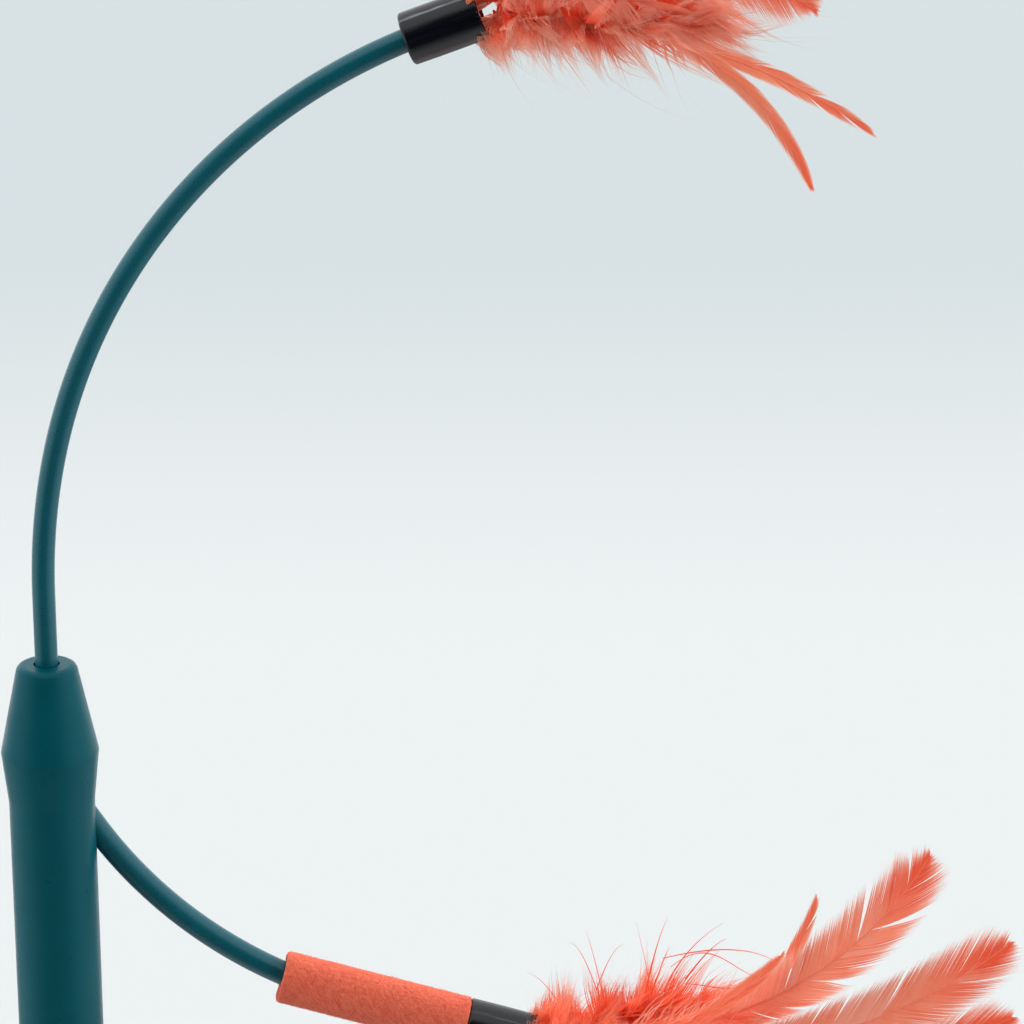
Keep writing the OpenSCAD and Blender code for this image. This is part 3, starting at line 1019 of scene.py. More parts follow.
@dataclass
class Studio:
    """Camera at the photograph's angle, pale floor and backdrop, and plain soft light."""

    camera_place: tuple = (125.203, -995.931, 536.068)
    camera_pitch: float = 71.0
    lens: float = 139.5
    sensor: float = 36.0
    floor_size: float = 9000.0
    floor_height: float = -118.0
    floor_near: tuple = paint(208, 212, 213)
    floor_far: tuple = paint(189, 197, 199)
    floor_bounce: float = 0.6
    fade_start: float = 680.0
    fade_end: float = 1440.0
    backdrop: tuple = paint(215, 224, 226)
    lamp_tint: tuple = (0.98, 0.985, 0.985, 1)
    bright_way: tuple = (0.0, 0.62, 0.78)
    bright_range: tuple = (-0.06, 0.24, 1.0)
    side_range: tuple = (0.4, 0.98, 0.8)
    below_range: tuple = (0.5, 0.95, 0.7)
    dim_level: float = 0.06
    dim_in_gloss: float = 0.01
    strength: float = 0.72
    strength_in_gloss: float = 1.17
    lamps: tuple = (
        ("top_softbox", (0.1, -0.62, -0.78), 50, 2.15),
        ("left_strip", (0.97, 0.2, -0.12), 36, 2.2),
        ("right_strip", (-0.97, 0.2, -0.12), 36, 2.2),
    )

    def camera(self) -> None:
        """Sets the camera."""
        data = bpy.data.cameras.new("photo_camera")
        data.lens, data.sensor_width, data.clip_end = self.lens, self.sensor, 50
        camera = bpy.data.objects.new("photo_camera", data)
        camera.location = [v * MM for v in self.camera_place]
        camera.rotation_euler = (self.camera_pitch * DEGREE, 0, 0)
        bpy.context.scene.collection.objects.link(camera)
        bpy.context.scene.camera = camera

    def floor(self) -> None:
        """Builds the pale floor, a little darker towards the back and left out of gloss."""
        half = self.floor_size / 2 * MM
        corners = np.array([[-half, -half, 0], [half, -half, 0], [half, half, 0], [-half, half, 0]])
        shell = Shell()
        shell.add(corners, np.array([[0, 1, 2, 3]]), NO_TRIANGLES)
        graph = Graph("floor_paper")
        depth = graph.node("ShaderNodeSeparateXYZ", Vector=graph.object_places()).outputs["Y"]
        fade = graph.spread(depth, self.fade_start, self.fade_end, smooth=True)
        seen = graph.blend(fade, self.floor_near, self.floor_far)
        bounced = tuple(c * self.floor_bounce for c in self.floor_near[:3]) + (1.0,)
        camera_ray = graph.node("ShaderNodeLightPath").outputs["Is Camera Ray"]
        material = graph.surface(
            Base_Color=graph.blend(camera_ray, bounced, seen), Roughness=0.9, Specular_IOR_Level=0.0,
        )
        floor = shell.build("studio_floor", [material])
        floor.location.z = self.floor_height * MM
        floor.visible_glossy = False

    def world(self) -> None:
        """Sets the surroundings: bright above, behind, at the sides and below, dim before the object.

        Each range is where the light starts to rise, where it is full, and its full level.
        """
        graph = Graph("studio_world", bpy.data.worlds)
        bpy.context.scene.world = graph.owner
        way = graph.node("ShaderNodeTexCoord").outputs["Generated"]
        parts = graph.node("ShaderNodeSeparateXYZ", Vector=way).outputs
        facing = graph.node(
            "ShaderNodeVectorMath", {"operation": "DOT_PRODUCT"}, i0=way, i1=self.bright_way,
        )
        rays = graph.node("ShaderNodeLightPath").outputs
        level = graph.spread(rays["Is Glossy Ray"], 0, 1, self.dim_level, self.dim_in_gloss)
        for value, (low, high, top) in (
            (facing.outputs["Value"], self.bright_range),
            (graph.maths(parts["X"], 0.0, "ABSOLUTE"), self.side_range),
            (graph.maths(parts["Z"], -1.0, "MULTIPLY"), self.below_range),
        ):
            level = graph.maths(level, graph.spread(value, low, high, 0, top, smooth=True), "MAXIMUM")
        scale = graph.spread(rays["Is Glossy Ray"], 0, 1, self.strength, self.strength_in_gloss)
        lit = graph.node(
            "ShaderNodeBackground", Color=self.lamp_tint, Strength=graph.maths(level, scale, "MULTIPLY"),
        )
        seen = graph.node("ShaderNodeBackground", Color=self.backdrop, Strength=1.0)
        either = graph.maths(rays["Is Camera Ray"], rays["Is Transmission Ray"], "MAXIMUM")
        mix = graph.node("ShaderNodeMixShader", i0=either, i1=lit.outputs[0], i2=seen.outputs[0])
        graph.finish(mix, "ShaderNodeOutputWorld")

    def lamp(self, name: str, toward: tuple, spread: float, strength: float) -> None:
        """Adds a wide soft lamp far away, which lights without showing in gloss.

        Args:
            name: Name of the lamp.
            toward: The way that its light travels.
            spread: Its width as an angle in degrees.
            strength: Its strength.
        """
        data = bpy.data.lights.new(name, "SUN")
        data.energy, data.angle = strength, spread * DEGREE
        lamp = bpy.data.objects.new(name, data)
        way = unit(np.array(toward, float))
        lamp.rotation_euler = (math.acos(-way[2]), 0, math.atan2(way[1], way[0]) - math.pi / 2)
        lamp.visible_glossy = False
        bpy.context.scene.collection.objects.link(lamp)

    def build(self) -> None:
        """Builds the whole studio."""
        scene = bpy.context.scene
        scene.view_settings.view_transform = "Standard"
        self.camera()
        self.floor()
        self.world()
        for lamp in self.lamps:
            self.lamp(*lamp)
        log.info("studio: camera, floor, world and three lamps")


# Rigid pieces of the frame


@dataclass
class FrameFinishes:
    """Finishes of the nodes that keep their solid shape, with the headings of both lures."""

    upper_heading: float
    lower_heading: float

    def finishes(self) -> dict:
        """One material for each node that stays as it is.

        Returns:
            Materials by node name.
        """
        grip = SoftMoulding("soft_teal_grip", paint(0, 77, 88), paint(2, 83, 94), 0.33, 0.01).make()
        cap = SoftMoulding("teal_butt_cap", paint(3, 68, 82), paint(10, 80, 92), 0.34, 0.01).make()
        core = SoftMoulding("dark_core_plastic", paint(38, 46, 50), paint(54, 62, 66), 0.4, 0.01).make()
        bush = SoftMoulding("black_bush_rubber", paint(8, 20, 24), paint(16, 32, 36), 0.6, 0.02).make()
        brass = Metal("crimp_brass_bare", paint(196, 160, 92), 0.25).make()
        made = {
            "grip_sleeve": grip, "butt_cap": cap, "handle_core": core, "top_bush": bush, "side_bush": bush,
            "upper_crimp": brass, "lower_crimp": brass,
        }
        for arm, heading in ((Arm.UPPER, self.upper_heading), (Arm.LOWER, self.lower_heading)):
            made[f"{arm.value}_binding"] = Thread(f"{arm.value}_binding_thread", heading).make()
            made[f"{arm.value}_glue"] = Resin(f"{arm.value}_set_glue").make()
        return made

    def dress(self) -> None:
        """Puts the finishes on the nodes."""
        for node, material in self.finishes().items():
            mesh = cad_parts[node].data
            mesh.materials.clear()
            mesh.materials.append(material)
            log.info("dressed %s", node)


# Rods


@dataclass
class RodMaker:
    """Bent tube and wire of one arm, each in a root span and an end span.

    The two spans meet between the arm's sway and flex stretches.
    """

    arm: Arm
    route: Route
    tube_d: float
    wire_before: float
    wire_past: float
    tube_end: float
    sway: tuple
    flex: tuple
    wire_d: float = 1.6
    wire_gap: float = 0.02
    around: int = 56
    wire_around: int = 16
    step: float = 1.5
    hair: float = 0.01

    def span(self, name: str, start: float, end: float, radius: float, bore: float,
             material: bpy.types.Material) -> bpy.types.Object:
        """Builds one span.

        Args:
            name: Name of the piece.
            start: Distance along the route where it starts.
            end: Distance where it ends.
            radius: Outer radius.
            bore: Radius of its bore, or 0 for a solid wire.
            material: Finish.

        Returns:
            The object.
        """
        distances = np.linspace(start, end, max(int((end - start) / self.step), 2) + 1)
        distances = np.concatenate([[start, start + self.hair], distances[1:-1], [end - self.hair, end]])
        stations = [self.route.at(d) for d in distances]
        centres = np.array([self.route.point(d) for d in distances])
        headings = np.array([s.heading for s in stations]) * DEGREE
        up = np.stack([-np.sin(headings), np.zeros_like(headings), np.cos(headings)], axis=-1)
        side = np.tile([0.0, -1.0, 0.0], (len(distances), 1))
        turn = full_turn(self.around)[None, :, None]
        ring = np.cos(turn) * side[:, None] + np.sin(turn) * up[:, None]
        shell = Shell()
        rows = len(centres)
        if bore == 0:
            add_tube(shell, centres, side, up, np.full(rows, radius * MM), self.wire_around)
        else:
            outer = centres[:, None] + ring * radius * MM
            inner = (centres[:, None] + ring * bore * MM)[::-1]
            shell.add(np.concatenate([outer, inner]), loop_faces(2 * rows, self.around), NO_TRIANGLES)
            lid = np.arange(self.around)
            shell.flat = np.concatenate([(rows * n - 1) * self.around + lid for n in (1, 2)])
        piece = shell.build(name, [material])
        return piece

    def build(self, coat: bpy.types.Material, steel: bpy.types.Material) -> None:
        """Builds both spans of the tube and of the wire.

        Args:
            coat: Finish of the tube.
            steel: Finish of the wire.
        """
        arm = self.arm.value
        cut = (self.sway[1] + self.flex[0]) / 2
        wire_radius = self.wire_d / 2 - self.wire_gap
        spans = {
            "tube": (0.0, self.tube_end, self.tube_d / 2, self.wire_d / 2, Slot.TUBE, coat),
            "wire": (-self.wire_before, self.wire_past, wire_radius, 0.0, Slot.WIRE, steel),
        }
        for kind, (start, end, radius, bore, slot, material) in spans.items():
            root = self.span(f"{arm}_{kind}_root_span", start, cut, radius, bore, material)
            tip = self.span(f"{arm}_{kind}_end_span", cut, end, radius, bore, material)
            for piece, (first, second), (near, far) in (
                (root, ("handle", f"{arm}_rod"), self.sway),
                (tip, (f"{arm}_rod", f"{arm}_lure"), self.flex),
            ):
                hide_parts(f"{arm}_{kind}")
                tuple(self.route.point(near))
                tuple(self.route.point(far))
                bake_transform(piece)
                log.info("built %s", piece.name)


# Ferrules and felt


@dataclass
class Ferrule:
    """Shrink-tube ferrule: a drawn-in start, a slightly wavy wall and an open end with a thin rim."""

    arm: Arm
    start: Station
    plane_y: float
    diameter: float
    length: float
    bore_d: float
    # Strength of the painted highlight streak.
    painted_glint: float = 1.0
    wall: float = 1.0
    end_wall: float = 1.4
    corner: float = 0.9
    rim: float = 0.35
    bevel: float = 0.25
    streak_way: float = 56.0
    streak_width: float = 0.06
    around: int = 120
    seed: int = 11

    def profile(self) -> np.ndarray:
        """Outline from the rod's hole over the outside and back down the inside.

        Returns:
            Rows of a distance along the ferrule and a radius.
        """
        radius, hole = self.diameter / 2, self.bore_d / 2
        inner = radius - self.wall
        hole_edge = [(self.end_wall, hole), (self.bevel, hole), (0.0, hole + self.bevel)]
        corner = [
            (self.corner - self.corner * math.sin(a), radius - self.corner + self.corner * math.cos(a))
            for a in np.linspace(90, 0, 8) * DEGREE
        ]
        wall = [(d, radius) for d in np.linspace(1.6, self.length - 0.5, 22)]
        rim = [
            (self.length - self.rim + self.rim * math.sin(a), radius - self.rim + self.rim * math.cos(a))
            for a in np.linspace(10, 90, 5) * DEGREE
        ]
        mouth = [(self.length, inner + self.bevel), (self.length - self.bevel, inner)]
        inside = [(d, inner) for d in np.linspace(self.length - 1.5, self.end_wall, 6)]
        return np.array(hole_edge + corner + wall + rim + mouth + inside + [(self.end_wall, hole + 0.1)])

    def build(self, material: bpy.types.Material) -> bpy.types.Object:
        """Builds the ferrule.

        Args:
            material: Finish.

        Returns:
            The object, on the lure's body.
        """
        profile = self.profile()
        turn = full_turn(self.around)
        draw = np.random.default_rng(self.seed)
        waves = sum(
            draw.uniform(0.3, 1) * np.cos(k * turn[None, :] + draw.uniform(0, 6) + 0.12 * profile[:, :1])
            for k in (3, 5, 8)
        )
        swell = np.sin(profile[:, 0] / self.length * math.pi)[:, None]
        outside = (profile[:, 1] > self.diameter / 2 - 0.6)[:, None]
        radii = profile[:, 1:] + outside * (0.035 * waves + 0.06 * swell - 0.06)
        radii = np.minimum(radii, self.diameter / 2 + 0.02)
        local = round_axis(profile[:, :1], radii, turn)
        # Painted highlight: a thin streak at a fixed way round the tube, near its top.
        streak = np.exp(-(((turn - self.streak_way * DEGREE) / self.streak_width) ** 2))
        scuff = self.painted_glint * streak[None, :] * outside
        shell = Shell()
        shell.add(
            Lure(self.start, self.plane_y).place(local), loop_faces(len(profile), self.around),
            NO_TRIANGLES, scuff=scuff * np.ones_like(radii),
        )
        piece = shell.build(f"{self.arm.value}_shrink_ferrule", [material])
        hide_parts(f"{self.arm.value}_ferrule")
        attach(piece, f"{self.arm.value}_lure")
        log.info("built %s", piece.name)
        return piece


@dataclass
class FeltSleeve:
    """Felt rolled round the end of the lower rod, with a rough cut end and loose fibres."""

    start: Station
    plane_y: float
    hole_offset: float
    diameter: float = 14.7
    length: float = 52.7
    hole_d: float = 7.0
    hole_depth: float = 5.0
    start_round: float = 0.95
    end_round: float = 0.4
    sunk: float = 0.12
    dents: float = 0.13
    pile: float = 0.035
    around: int = 200
    rings: int = 260
    fibres: int = 2600
    seed: int = 5

    def relief(self, along: np.ndarray, turn: np.ndarray) -> np.ndarray:
        """Height of the felt's surface from many small slanting waves.

        Args:
            along: Distances along the sleeve.
            turn: Angles round it.

        Returns:
            Heights in millimetres.
        """
        draw = np.random.default_rng(self.seed)
        height = np.zeros(np.broadcast(along, turn).shape)
        for _ in range(70):
            wave = draw.uniform(0.35, 2.4)
            slant = draw.normal(0.55, 0.5)
            round_waves = round(wave * self.diameter / 2 * math.cos(slant) * 2)
            height += draw.uniform(0.3, 1) / (0.6 + wave) * np.cos(
                round_waves * turn + wave * 2 * math.sin(slant) * along + draw.uniform(0, 6.3)
            )
        return height / np.abs(height).max()

    def outline(self, along: np.ndarray) -> np.ndarray:
        """Radius of the sleeve with its rounded ends.

        Args:
            along: Distances along it.

        Returns:
            Radii.
        """
        radius = self.diameter / 2 * np.ones_like(along)
        for corner, left in ((self.start_round, along), (self.end_round, self.length - along)):
            radius -= corner - np.sqrt(np.maximum(corner**2 - np.maximum(corner - left, 0) ** 2, 0))
        return radius

    def skin(self, draw: np.random.Generator) -> np.ndarray:
        """The sleeve's rings, from the rod's hole over the ragged start and the outside to the end.

        Args:
            draw: Source of random numbers.

        Returns:
            Local points, ring by ring.
        """
        turn, hole = full_turn(self.around), self.hole_d / 2
        along = np.linspace(0, self.length, self.rings)[:, None]
        fine = draw.normal(0, self.pile, (self.rings, self.around))
        radii = self.outline(along) - self.sunk + self.dents * self.relief(along, turn[None, :]) + fine
        ragged = sum(
            draw.uniform(0.2, 1) / k * np.cos(k * turn + draw.uniform(0, 6.3))
            for k in (2, 3, 5, 9, 14, 23)
        )
        shift = 0.28 * ragged[None, :] * np.exp(-along / 4) + 0.1 * fine / self.pile * (along < 1.2)
        place = along + np.maximum(shift, -0.25)
        lids = []
        for share in (0.25, 0.5, 0.75, 1.0):
            ring_r = radii[:1] * (1 - share) + hole * share
            rough = draw.normal(0, 0.06, ring_r.shape) * (share < 1)
            lids.append(round_axis(
                place[:1] * (1 - share) + 0.12 * share + rough, ring_r, turn, self.hole_offset * share,
            ))
        bore = round_axis(np.full((1, self.around), self.hole_depth), hole, turn, self.hole_offset * 0.4)
        ends = [
            round_axis(self.length, radii[-1:] * (1 - share) + hole * share, turn) for share in (0.5, 1.0)
        ]
        return np.concatenate([bore, *lids[::-1], round_axis(place, radii, turn), *ends])

    def build(self, material: bpy.types.Material) -> bpy.types.Object:
        """Builds the sleeve with its fibres.

        Args:
            material: Finish.

        Returns:
            The object, on the lower lure's body.
        """
        draw = np.random.default_rng(self.seed)
        lure = Lure(self.start, self.plane_y)
        local = self.skin(draw)
        shell = Shell()
        shell.add(
            lure.place(local), loop_faces(len(local), self.around), NO_TRIANGLES,
            fuzz=np.zeros(local.shape[:2]),
        )
        self.add_fibres(shell, lure, draw)
        piece = shell.build("felt_wrap", [material])
        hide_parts("felt_sleeve")
        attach(piece, "lower_lure")
        log.info("built %s", piece.name)
        return piece

    def add_fibres(self, shell: Shell, lure: Lure, draw: np.random.Generator) -> None:
        """Adds short fibres that lie on the felt or stand off it.

        Args:
            shell: Mesh that gets them.
            lure: Axes of the sleeve.
            draw: Source of random numbers.
        """
        count, steps = self.fibres, 5
        turn = draw.uniform(0, 2 * math.pi, count)[:, None]
        along = draw.uniform(0.2, self.length - 0.2, count)[:, None]
        slant = draw.normal(0.6, 0.7, count)[:, None]
        length = draw.uniform(0.5, 1.7, count)[:, None]
        lift = np.abs(draw.normal(0, 0.22, count))[:, None]
        t = np.linspace(0, 1, steps)[None, :]
        bend = draw.normal(0, 0.35, count)[:, None]
        a = along + length * t * np.sin(slant) + bend * t * t * 0.4
        a = np.clip(a, 0.1, self.length - 0.1)
        angle = turn + length * t * np.cos(slant) / (self.diameter / 2)
        radius = self.diameter / 2 - self.sunk + lift * np.sin(math.pi * t * 0.8)
        local = round_axis(a, radius, angle)
        paths = lure.place(local)
        outward = unit(lure.place(local + round_axis(0.0, 1.0, angle)) - paths)
        tangent = unit(np.gradient(paths, axis=1))
        across = unit(np.cross(tangent, outward))
        width = 0.035 * (1 - 0.7 * t) * np.ones_like(turn) * MM
        add_strands(shell, paths, width, across, outward * (0.03 * MM), fuzz=np.ones(paths.shape[:2]))


# Feathers


BROAD_PROFILE = (
    (0, 0.3), (0.08, 0.62), (0.2, 0.84), (0.4, 0.97), (0.65, 1.0), (0.84, 0.94), (0.94, 0.82), (1, 0.62),
)
NARROW_PROFILE = ((0, 0.5), (0.2, 0.9), (0.5, 1.0), (0.75, 0.85), (0.92, 0.55), (1, 0.16))


@dataclass(frozen=True)
class FeatherKind:
    """What the feathers of one kind share, with angles in degrees from the shaft."""

    word: str
    slot: Slot
    half_width: float
    profile: tuple
    barb_spacing: float
    base_angle: float
    tip_angle: float
    lock_length: float
    lock_close: float
    camber: float


BROAD = FeatherKind("broad", Slot.BROAD, 10.0, BROAD_PROFILE, 0.3, 44, 25, 7.5, 0.26, 1.3)
NARROW = FeatherKind("narrow", Slot.NARROW, 2.6, NARROW_PROFILE, 0.3, 17, 9, 18, 0.16, 0.35)


@dataclass
class Feather:
    """One feather: a tapered shaft on an arc, with a vane of barbs on each side.

    The ends of the shaft and the vane are shares of the length, the longest barb is in half widths.
    """

    name: str
    node: str
    arm: Arm
    lure: Lure
    kind: FeatherKind
    place: tuple
    slope: float
    radius: float
    side: int
    length: float
    bare: float
    root: float
    seed: int
    pitch: float = 1.4
    splay: float = 3.0
    quill_d: float = 1.1
    shaft_places: tuple = (0, 0.3, 0.6, 1)
    shaft_taper: tuple = (1, 0.64, 0.36, 0.12)
    shaft_end: float = 0.975
    vane_end: float = 0.985
    longest_barb: float = 5.5
    foot_barbs: int = 70
    stray_barbs: int = 34

    def bent(self, along: np.ndarray, off: np.ndarray, out: np.ndarray) -> np.ndarray:
        """Points of the straightened feather laid on its arc and put in the lure.

        Args:
            along: Distances along the shaft.
            off: Distances to the left of it, in the vane's plane.
            out: Distances out of that plane.

        Returns:
            Places in metres.
        """
        heading = self.slope * DEGREE + self.side * along / self.radius
        first = self.slope * DEGREE
        x = self.side * self.radius * (np.sin(heading) - np.sin(first)) - np.sin(heading) * off
        z = self.side * self.radius * (np.cos(first) - np.cos(heading)) + np.cos(heading) * off
        turn = self.place[0] * self.splay * DEGREE
        y = x * math.sin(turn) + out * math.cos(turn)
        x = x * math.cos(turn) - out * math.sin(turn)
        local = np.stack([x, y + self.place[0] * self.pitch, z + self.place[1] * self.pitch], axis=-1)
        return self.lure.place(local)

    def out_of_plane(self, along: np.ndarray, off: np.ndarray) -> np.ndarray:
        """Camber and twist of the vane at points of the straightened feather.

        Args:
            along: Distances along the shaft.
            off: Distances from it.

        Returns:
            Distances out of the vane's plane.
        """
        share = off / self.kind.half_width
        reach = along / self.length
        twist = 0.9 * self.kind.camber * (self.seed % 3 - 1)
        return self.kind.camber * share**2 * (1 if self.place[0] >= 0 else -1) + twist * share * reach

    def laid(self, along: np.ndarray, off: np.ndarray, out: np.ndarray) -> tuple:
        """Barbs laid on the bent feather.

        Args:
            along: Distances along the shaft, barb by step.
            off: Distances to the left of it.
            out: Distances out of the vane's plane.

        Returns:
            Places, and unit vectors across the barbs and out of the vane.
        """
        paths = self.bent(along, off, out)
        tangent = unit(np.gradient(paths, axis=1))
        normal = unit(self.bent(along, off, out + 1) - paths)
        return paths, unit(np.cross(tangent, normal)), normal

    def shaft(self, shell: Shell) -> None:
        """Adds the quill and the shaft that tapers to the tip.

        Args:
            shell: Mesh that gets them.
        """
        inside = np.linspace(-self.root, 0, 8)[:-1]
        straight = np.array([[d, self.place[0] * self.pitch, self.place[1] * self.pitch] for d in inside])
        along = np.linspace(0, self.length * self.shaft_end, 90)
        flat = np.zeros_like(along)
        centres = np.vstack([self.lure.place(straight), self.bent(along, flat, flat)])
        share = np.concatenate([inside, along]) / self.length
        thick = np.interp(share, self.shaft_places, self.shaft_taper) * self.quill_d / 2
        add_stem(
            shell, centres, (0.0, 1.0, 0.0), thick * MM, 10,
            reach=np.clip(share, 0, 1), along=np.zeros(len(share)),
        )

    def locks(self, bases: np.ndarray, draw: np.random.Generator) -> tuple:
        """Groups the barbs of one side into locks.

        Args:
            bases: Distances of the barbs along the shaft.
            draw: Source of random numbers.

        Returns:
            For each barb its lock's middle, its lock's number and the numbers' count.
        """
        edges, at = [bases[0]], bases[0]
        while at < bases[-1]:
            at += self.kind.lock_length * draw.lognormal(0, 0.6)
            edges.append(at)
        number = np.searchsorted(edges, bases, side="right") - 1
        edges = np.array(edges + [edges[-1] + self.kind.lock_length])
        return (edges[number] + edges[number + 1]) / 2, number, len(edges)

    def reach_out(self, bases: np.ndarray, angle: np.ndarray, number: np.ndarray, locks: int,
                  draw: np.random.Generator) -> tuple:
        """Walks every barb outwards and finds where it meets the vane's outline.

        Args:
            bases: Distances of the barbs along the shaft.
            angle: Angles that they leave it at.
            number: Number of each barb's lock.
            locks: How many locks there are.
            draw: Source of random numbers.

        Returns:
            Distances along and off the shaft, barb by step, the length of a step, and for each barb
            the number of steps up to the outline.
        """
        kind, longest = self.kind, self.kind.half_width * self.longest_barb
        fan = np.linspace(0, 1, 160)[None, :] * longest
        step = fan[0, 1]
        heading = angle[:, None] * (1 - 0.42 * fan / longest)
        at = bases[:, None] + sum_before(np.cos(heading) * step)
        rise = sum_before(np.sin(heading) * step)
        outline = kind.half_width * lookup(kind.profile, (at - self.bare) / (self.length - self.bare))
        outline = outline * (0.97 + 0.09 * draw.random(locks)[number])[:, None]
        tip_line = self.length * (1 - 0.018 * draw.random(locks)[number])[:, None]
        past = (rise > outline) | (at > tip_line - rise**2 / (1.7 * kind.half_width))
        return at, rise, step, np.where(past.any(axis=1), past.argmax(axis=1), fan.shape[1] - 1)

    def vane(self, shell: Shell, edge: int, draw: np.random.Generator) -> None:
        """Adds the barbs of one side.

        Args:
            shell: Mesh that gets them.
            edge: 1 for the left side and -1 for the right.
            draw: Source of random numbers.
        """
        kind = self.kind
        bases = np.arange(self.bare, self.length * self.vane_end, kind.barb_spacing)
        count, steps = len(bases), 12
        middle, number, locks = self.locks(bases, draw)
        t = np.linspace(0, 1, steps)[None, :]
        share = (bases - self.bare) / (self.length - self.bare)
        angles = (kind.base_angle * 1.15, kind.base_angle, kind.tip_angle, kind.tip_angle * 0.7)
        angle = np.interp(share, (0, 0.25, 0.88, 1), angles)
        angle = (angle + draw.normal(0, 2.2, locks)[number] + draw.normal(0, 0.35, count)) * DEGREE
        at, rise, step, reach = self.reach_out(bases, angle, number, locks, draw)
        long = reach * step * (1.02 - np.abs(draw.normal(0, 0.07, count)))
        long = long * (1 + smooth_step(0.8, 0.95, share) * draw.normal(0, 0.12, count))
        split = kind.lock_close * draw.random(locks)[number] ** 2.4 * 2
        split = split * (1 - 0.8 * smooth_step(0.78, 0.9, middle / self.length))
        middle = np.minimum(middle, self.length * 0.93)
        index = t * long[:, None] / step
        low = np.clip(np.floor(index).astype(int), 0, at.shape[1] - 2)
        part = index - low
        rows = np.arange(count)[:, None]
        x = at[rows, low] * (1 - part) + at[rows, low + 1] * part
        off = rise[rows, low] * (1 - part) + rise[rows, low + 1] * part
        close = smooth_step(0.3, 1.0, t) * split[:, None]
        x = x + (middle - bases)[:, None] * close
        lift = draw.normal(0, 0.2, locks)[number][:, None] * kind.camber * t**2
        out = self.out_of_plane(x, off) + lift + draw.normal(0, 0.03, count)[:, None] * t
        paths, across, normal = self.laid(x, off * edge, out)
        across = unit(across + normal * draw.normal(0, 0.12, (count, 1, 1)))
        tight = kind.barb_spacing * np.sin(angle)[:, None] * 0.62 + 0.015
        width = tight * (1 - close * 0.55) * (1 - smooth_step(0.66, 1.0, t) * 0.92)
        tone = np.clip(draw.random(locks)[number] * 0.8 + draw.normal(0.1, 0.12, count), 0, 1)
        grid = paths.shape[:2]
        add_ribbons(
            shell, paths, np.broadcast_to(width, grid) * MM, across, 1, along=np.broadcast_to(t, grid),
            reach=x / self.length, tone=np.broadcast_to(tone[:, None], grid),
        )

    def loose_barbs(self, shell: Shell, draw: np.random.Generator) -> None:
        """Adds the soft separate barbs at the vane's foot and stray ones along it.

        Args:
            shell: Mesh that gets them.
            draw: Source of random numbers.
        """
        wide = self.kind.half_width * 0.6 + 4
        foot = int(self.foot_barbs * self.kind.half_width / 10) + self.foot_barbs
        stray = int(self.stray_barbs * self.kind.half_width / 10) + 10
        count, steps = foot + stray, 10
        bases = np.concatenate([
            draw.uniform(self.bare * 0.55, self.bare * 1.2, foot),
            draw.uniform(self.bare, self.length * 0.9, stray),
        ])
        edge = draw.choice([-1.0, 1.0], count)[:, None]
        t = np.linspace(0, 1, steps)[None, :]
        long = np.concatenate([
            draw.uniform(0.9, 2.2, foot) * wide, draw.uniform(0.9, 1.35, stray) * wide * 0.95
        ])[:, None]
        angle = np.concatenate([draw.uniform(16, 60, foot), draw.uniform(14, 30, stray)])
        angle = angle[:, None] * DEGREE
        wave = draw.uniform(0.02, 0.07, (count, 1)) * np.sin(
            t * draw.uniform(4, 9, (count, 1)) + draw.uniform(0, 6, (count, 1))
        )
        heading = angle * (1 - 0.5 * t) + wave * 5
        run = np.cumsum(np.cos(heading), axis=1) / steps * long
        rise = np.cumsum(np.sin(heading), axis=1) / steps * long
        out = draw.normal(0, 0.28, (count, 1)) * long * t + wave * 4 * t
        paths, across, _ = self.laid(bases[:, None] + run - run[:, :1], (rise - rise[:, :1]) * edge, out)
        thick = np.concatenate([draw.uniform(0.08, 0.3, foot), draw.uniform(0.04, 0.09, stray)])[:, None]
        swell = 0.35 + 0.65 * np.sin(math.pi * np.minimum(t * 1.1 + 0.1, 1))
        width = thick * swell * (1 - 0.9 * t**2) * MM
        grid = paths.shape[:2]
        add_ribbons(
            shell, paths, width, across, 1, along=np.broadcast_to(0.3 + 0.7 * t, grid),
            reach=np.broadcast_to(bases[:, None] / self.length * 0.6, grid),
            tone=np.broadcast_to(draw.random((count, 1)) * 0.5, grid),
        )

    def build(self, shaft: bpy.types.Material, vane: bpy.types.Material) -> bpy.types.Object:
        """Builds the feather.

        Args:
            shaft: Finish of the quill and shaft.
            vane: Finish of the barbs.

        Returns:
            The object, on the lure's body.
        """
        draw = np.random.default_rng(self.seed)
        shell = Shell()
        self.shaft(shell)
        for edge in (1, -1):
            self.vane(shell, edge, draw)
        self.loose_barbs(shell, draw)
        piece = shell.build(self.name, [shaft, vane])
        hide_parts(self.node)
        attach(piece, f"{self.arm.value}_lure")
        log.info("built %s, %d faces", piece.name, len(piece.data.polygons))
        return piece


# Down


@dataclass(frozen=True)
class Hair:
    """Single hairs by their least and greatest values.

    The reach is a share of the tuft's, and foot is the share of the colour's run at the hair's foot.
    """

    reach: tuple
    width: tuple
    tone: tuple
    foot: float


HALO = Hair((0.8, 1.2), (0.03, 0.055), (0.05, 0.6), 0.5)
WISP = Hair((1.25, 1.75), (0.12, 0.22), (0.85, 1.0), 0.2)


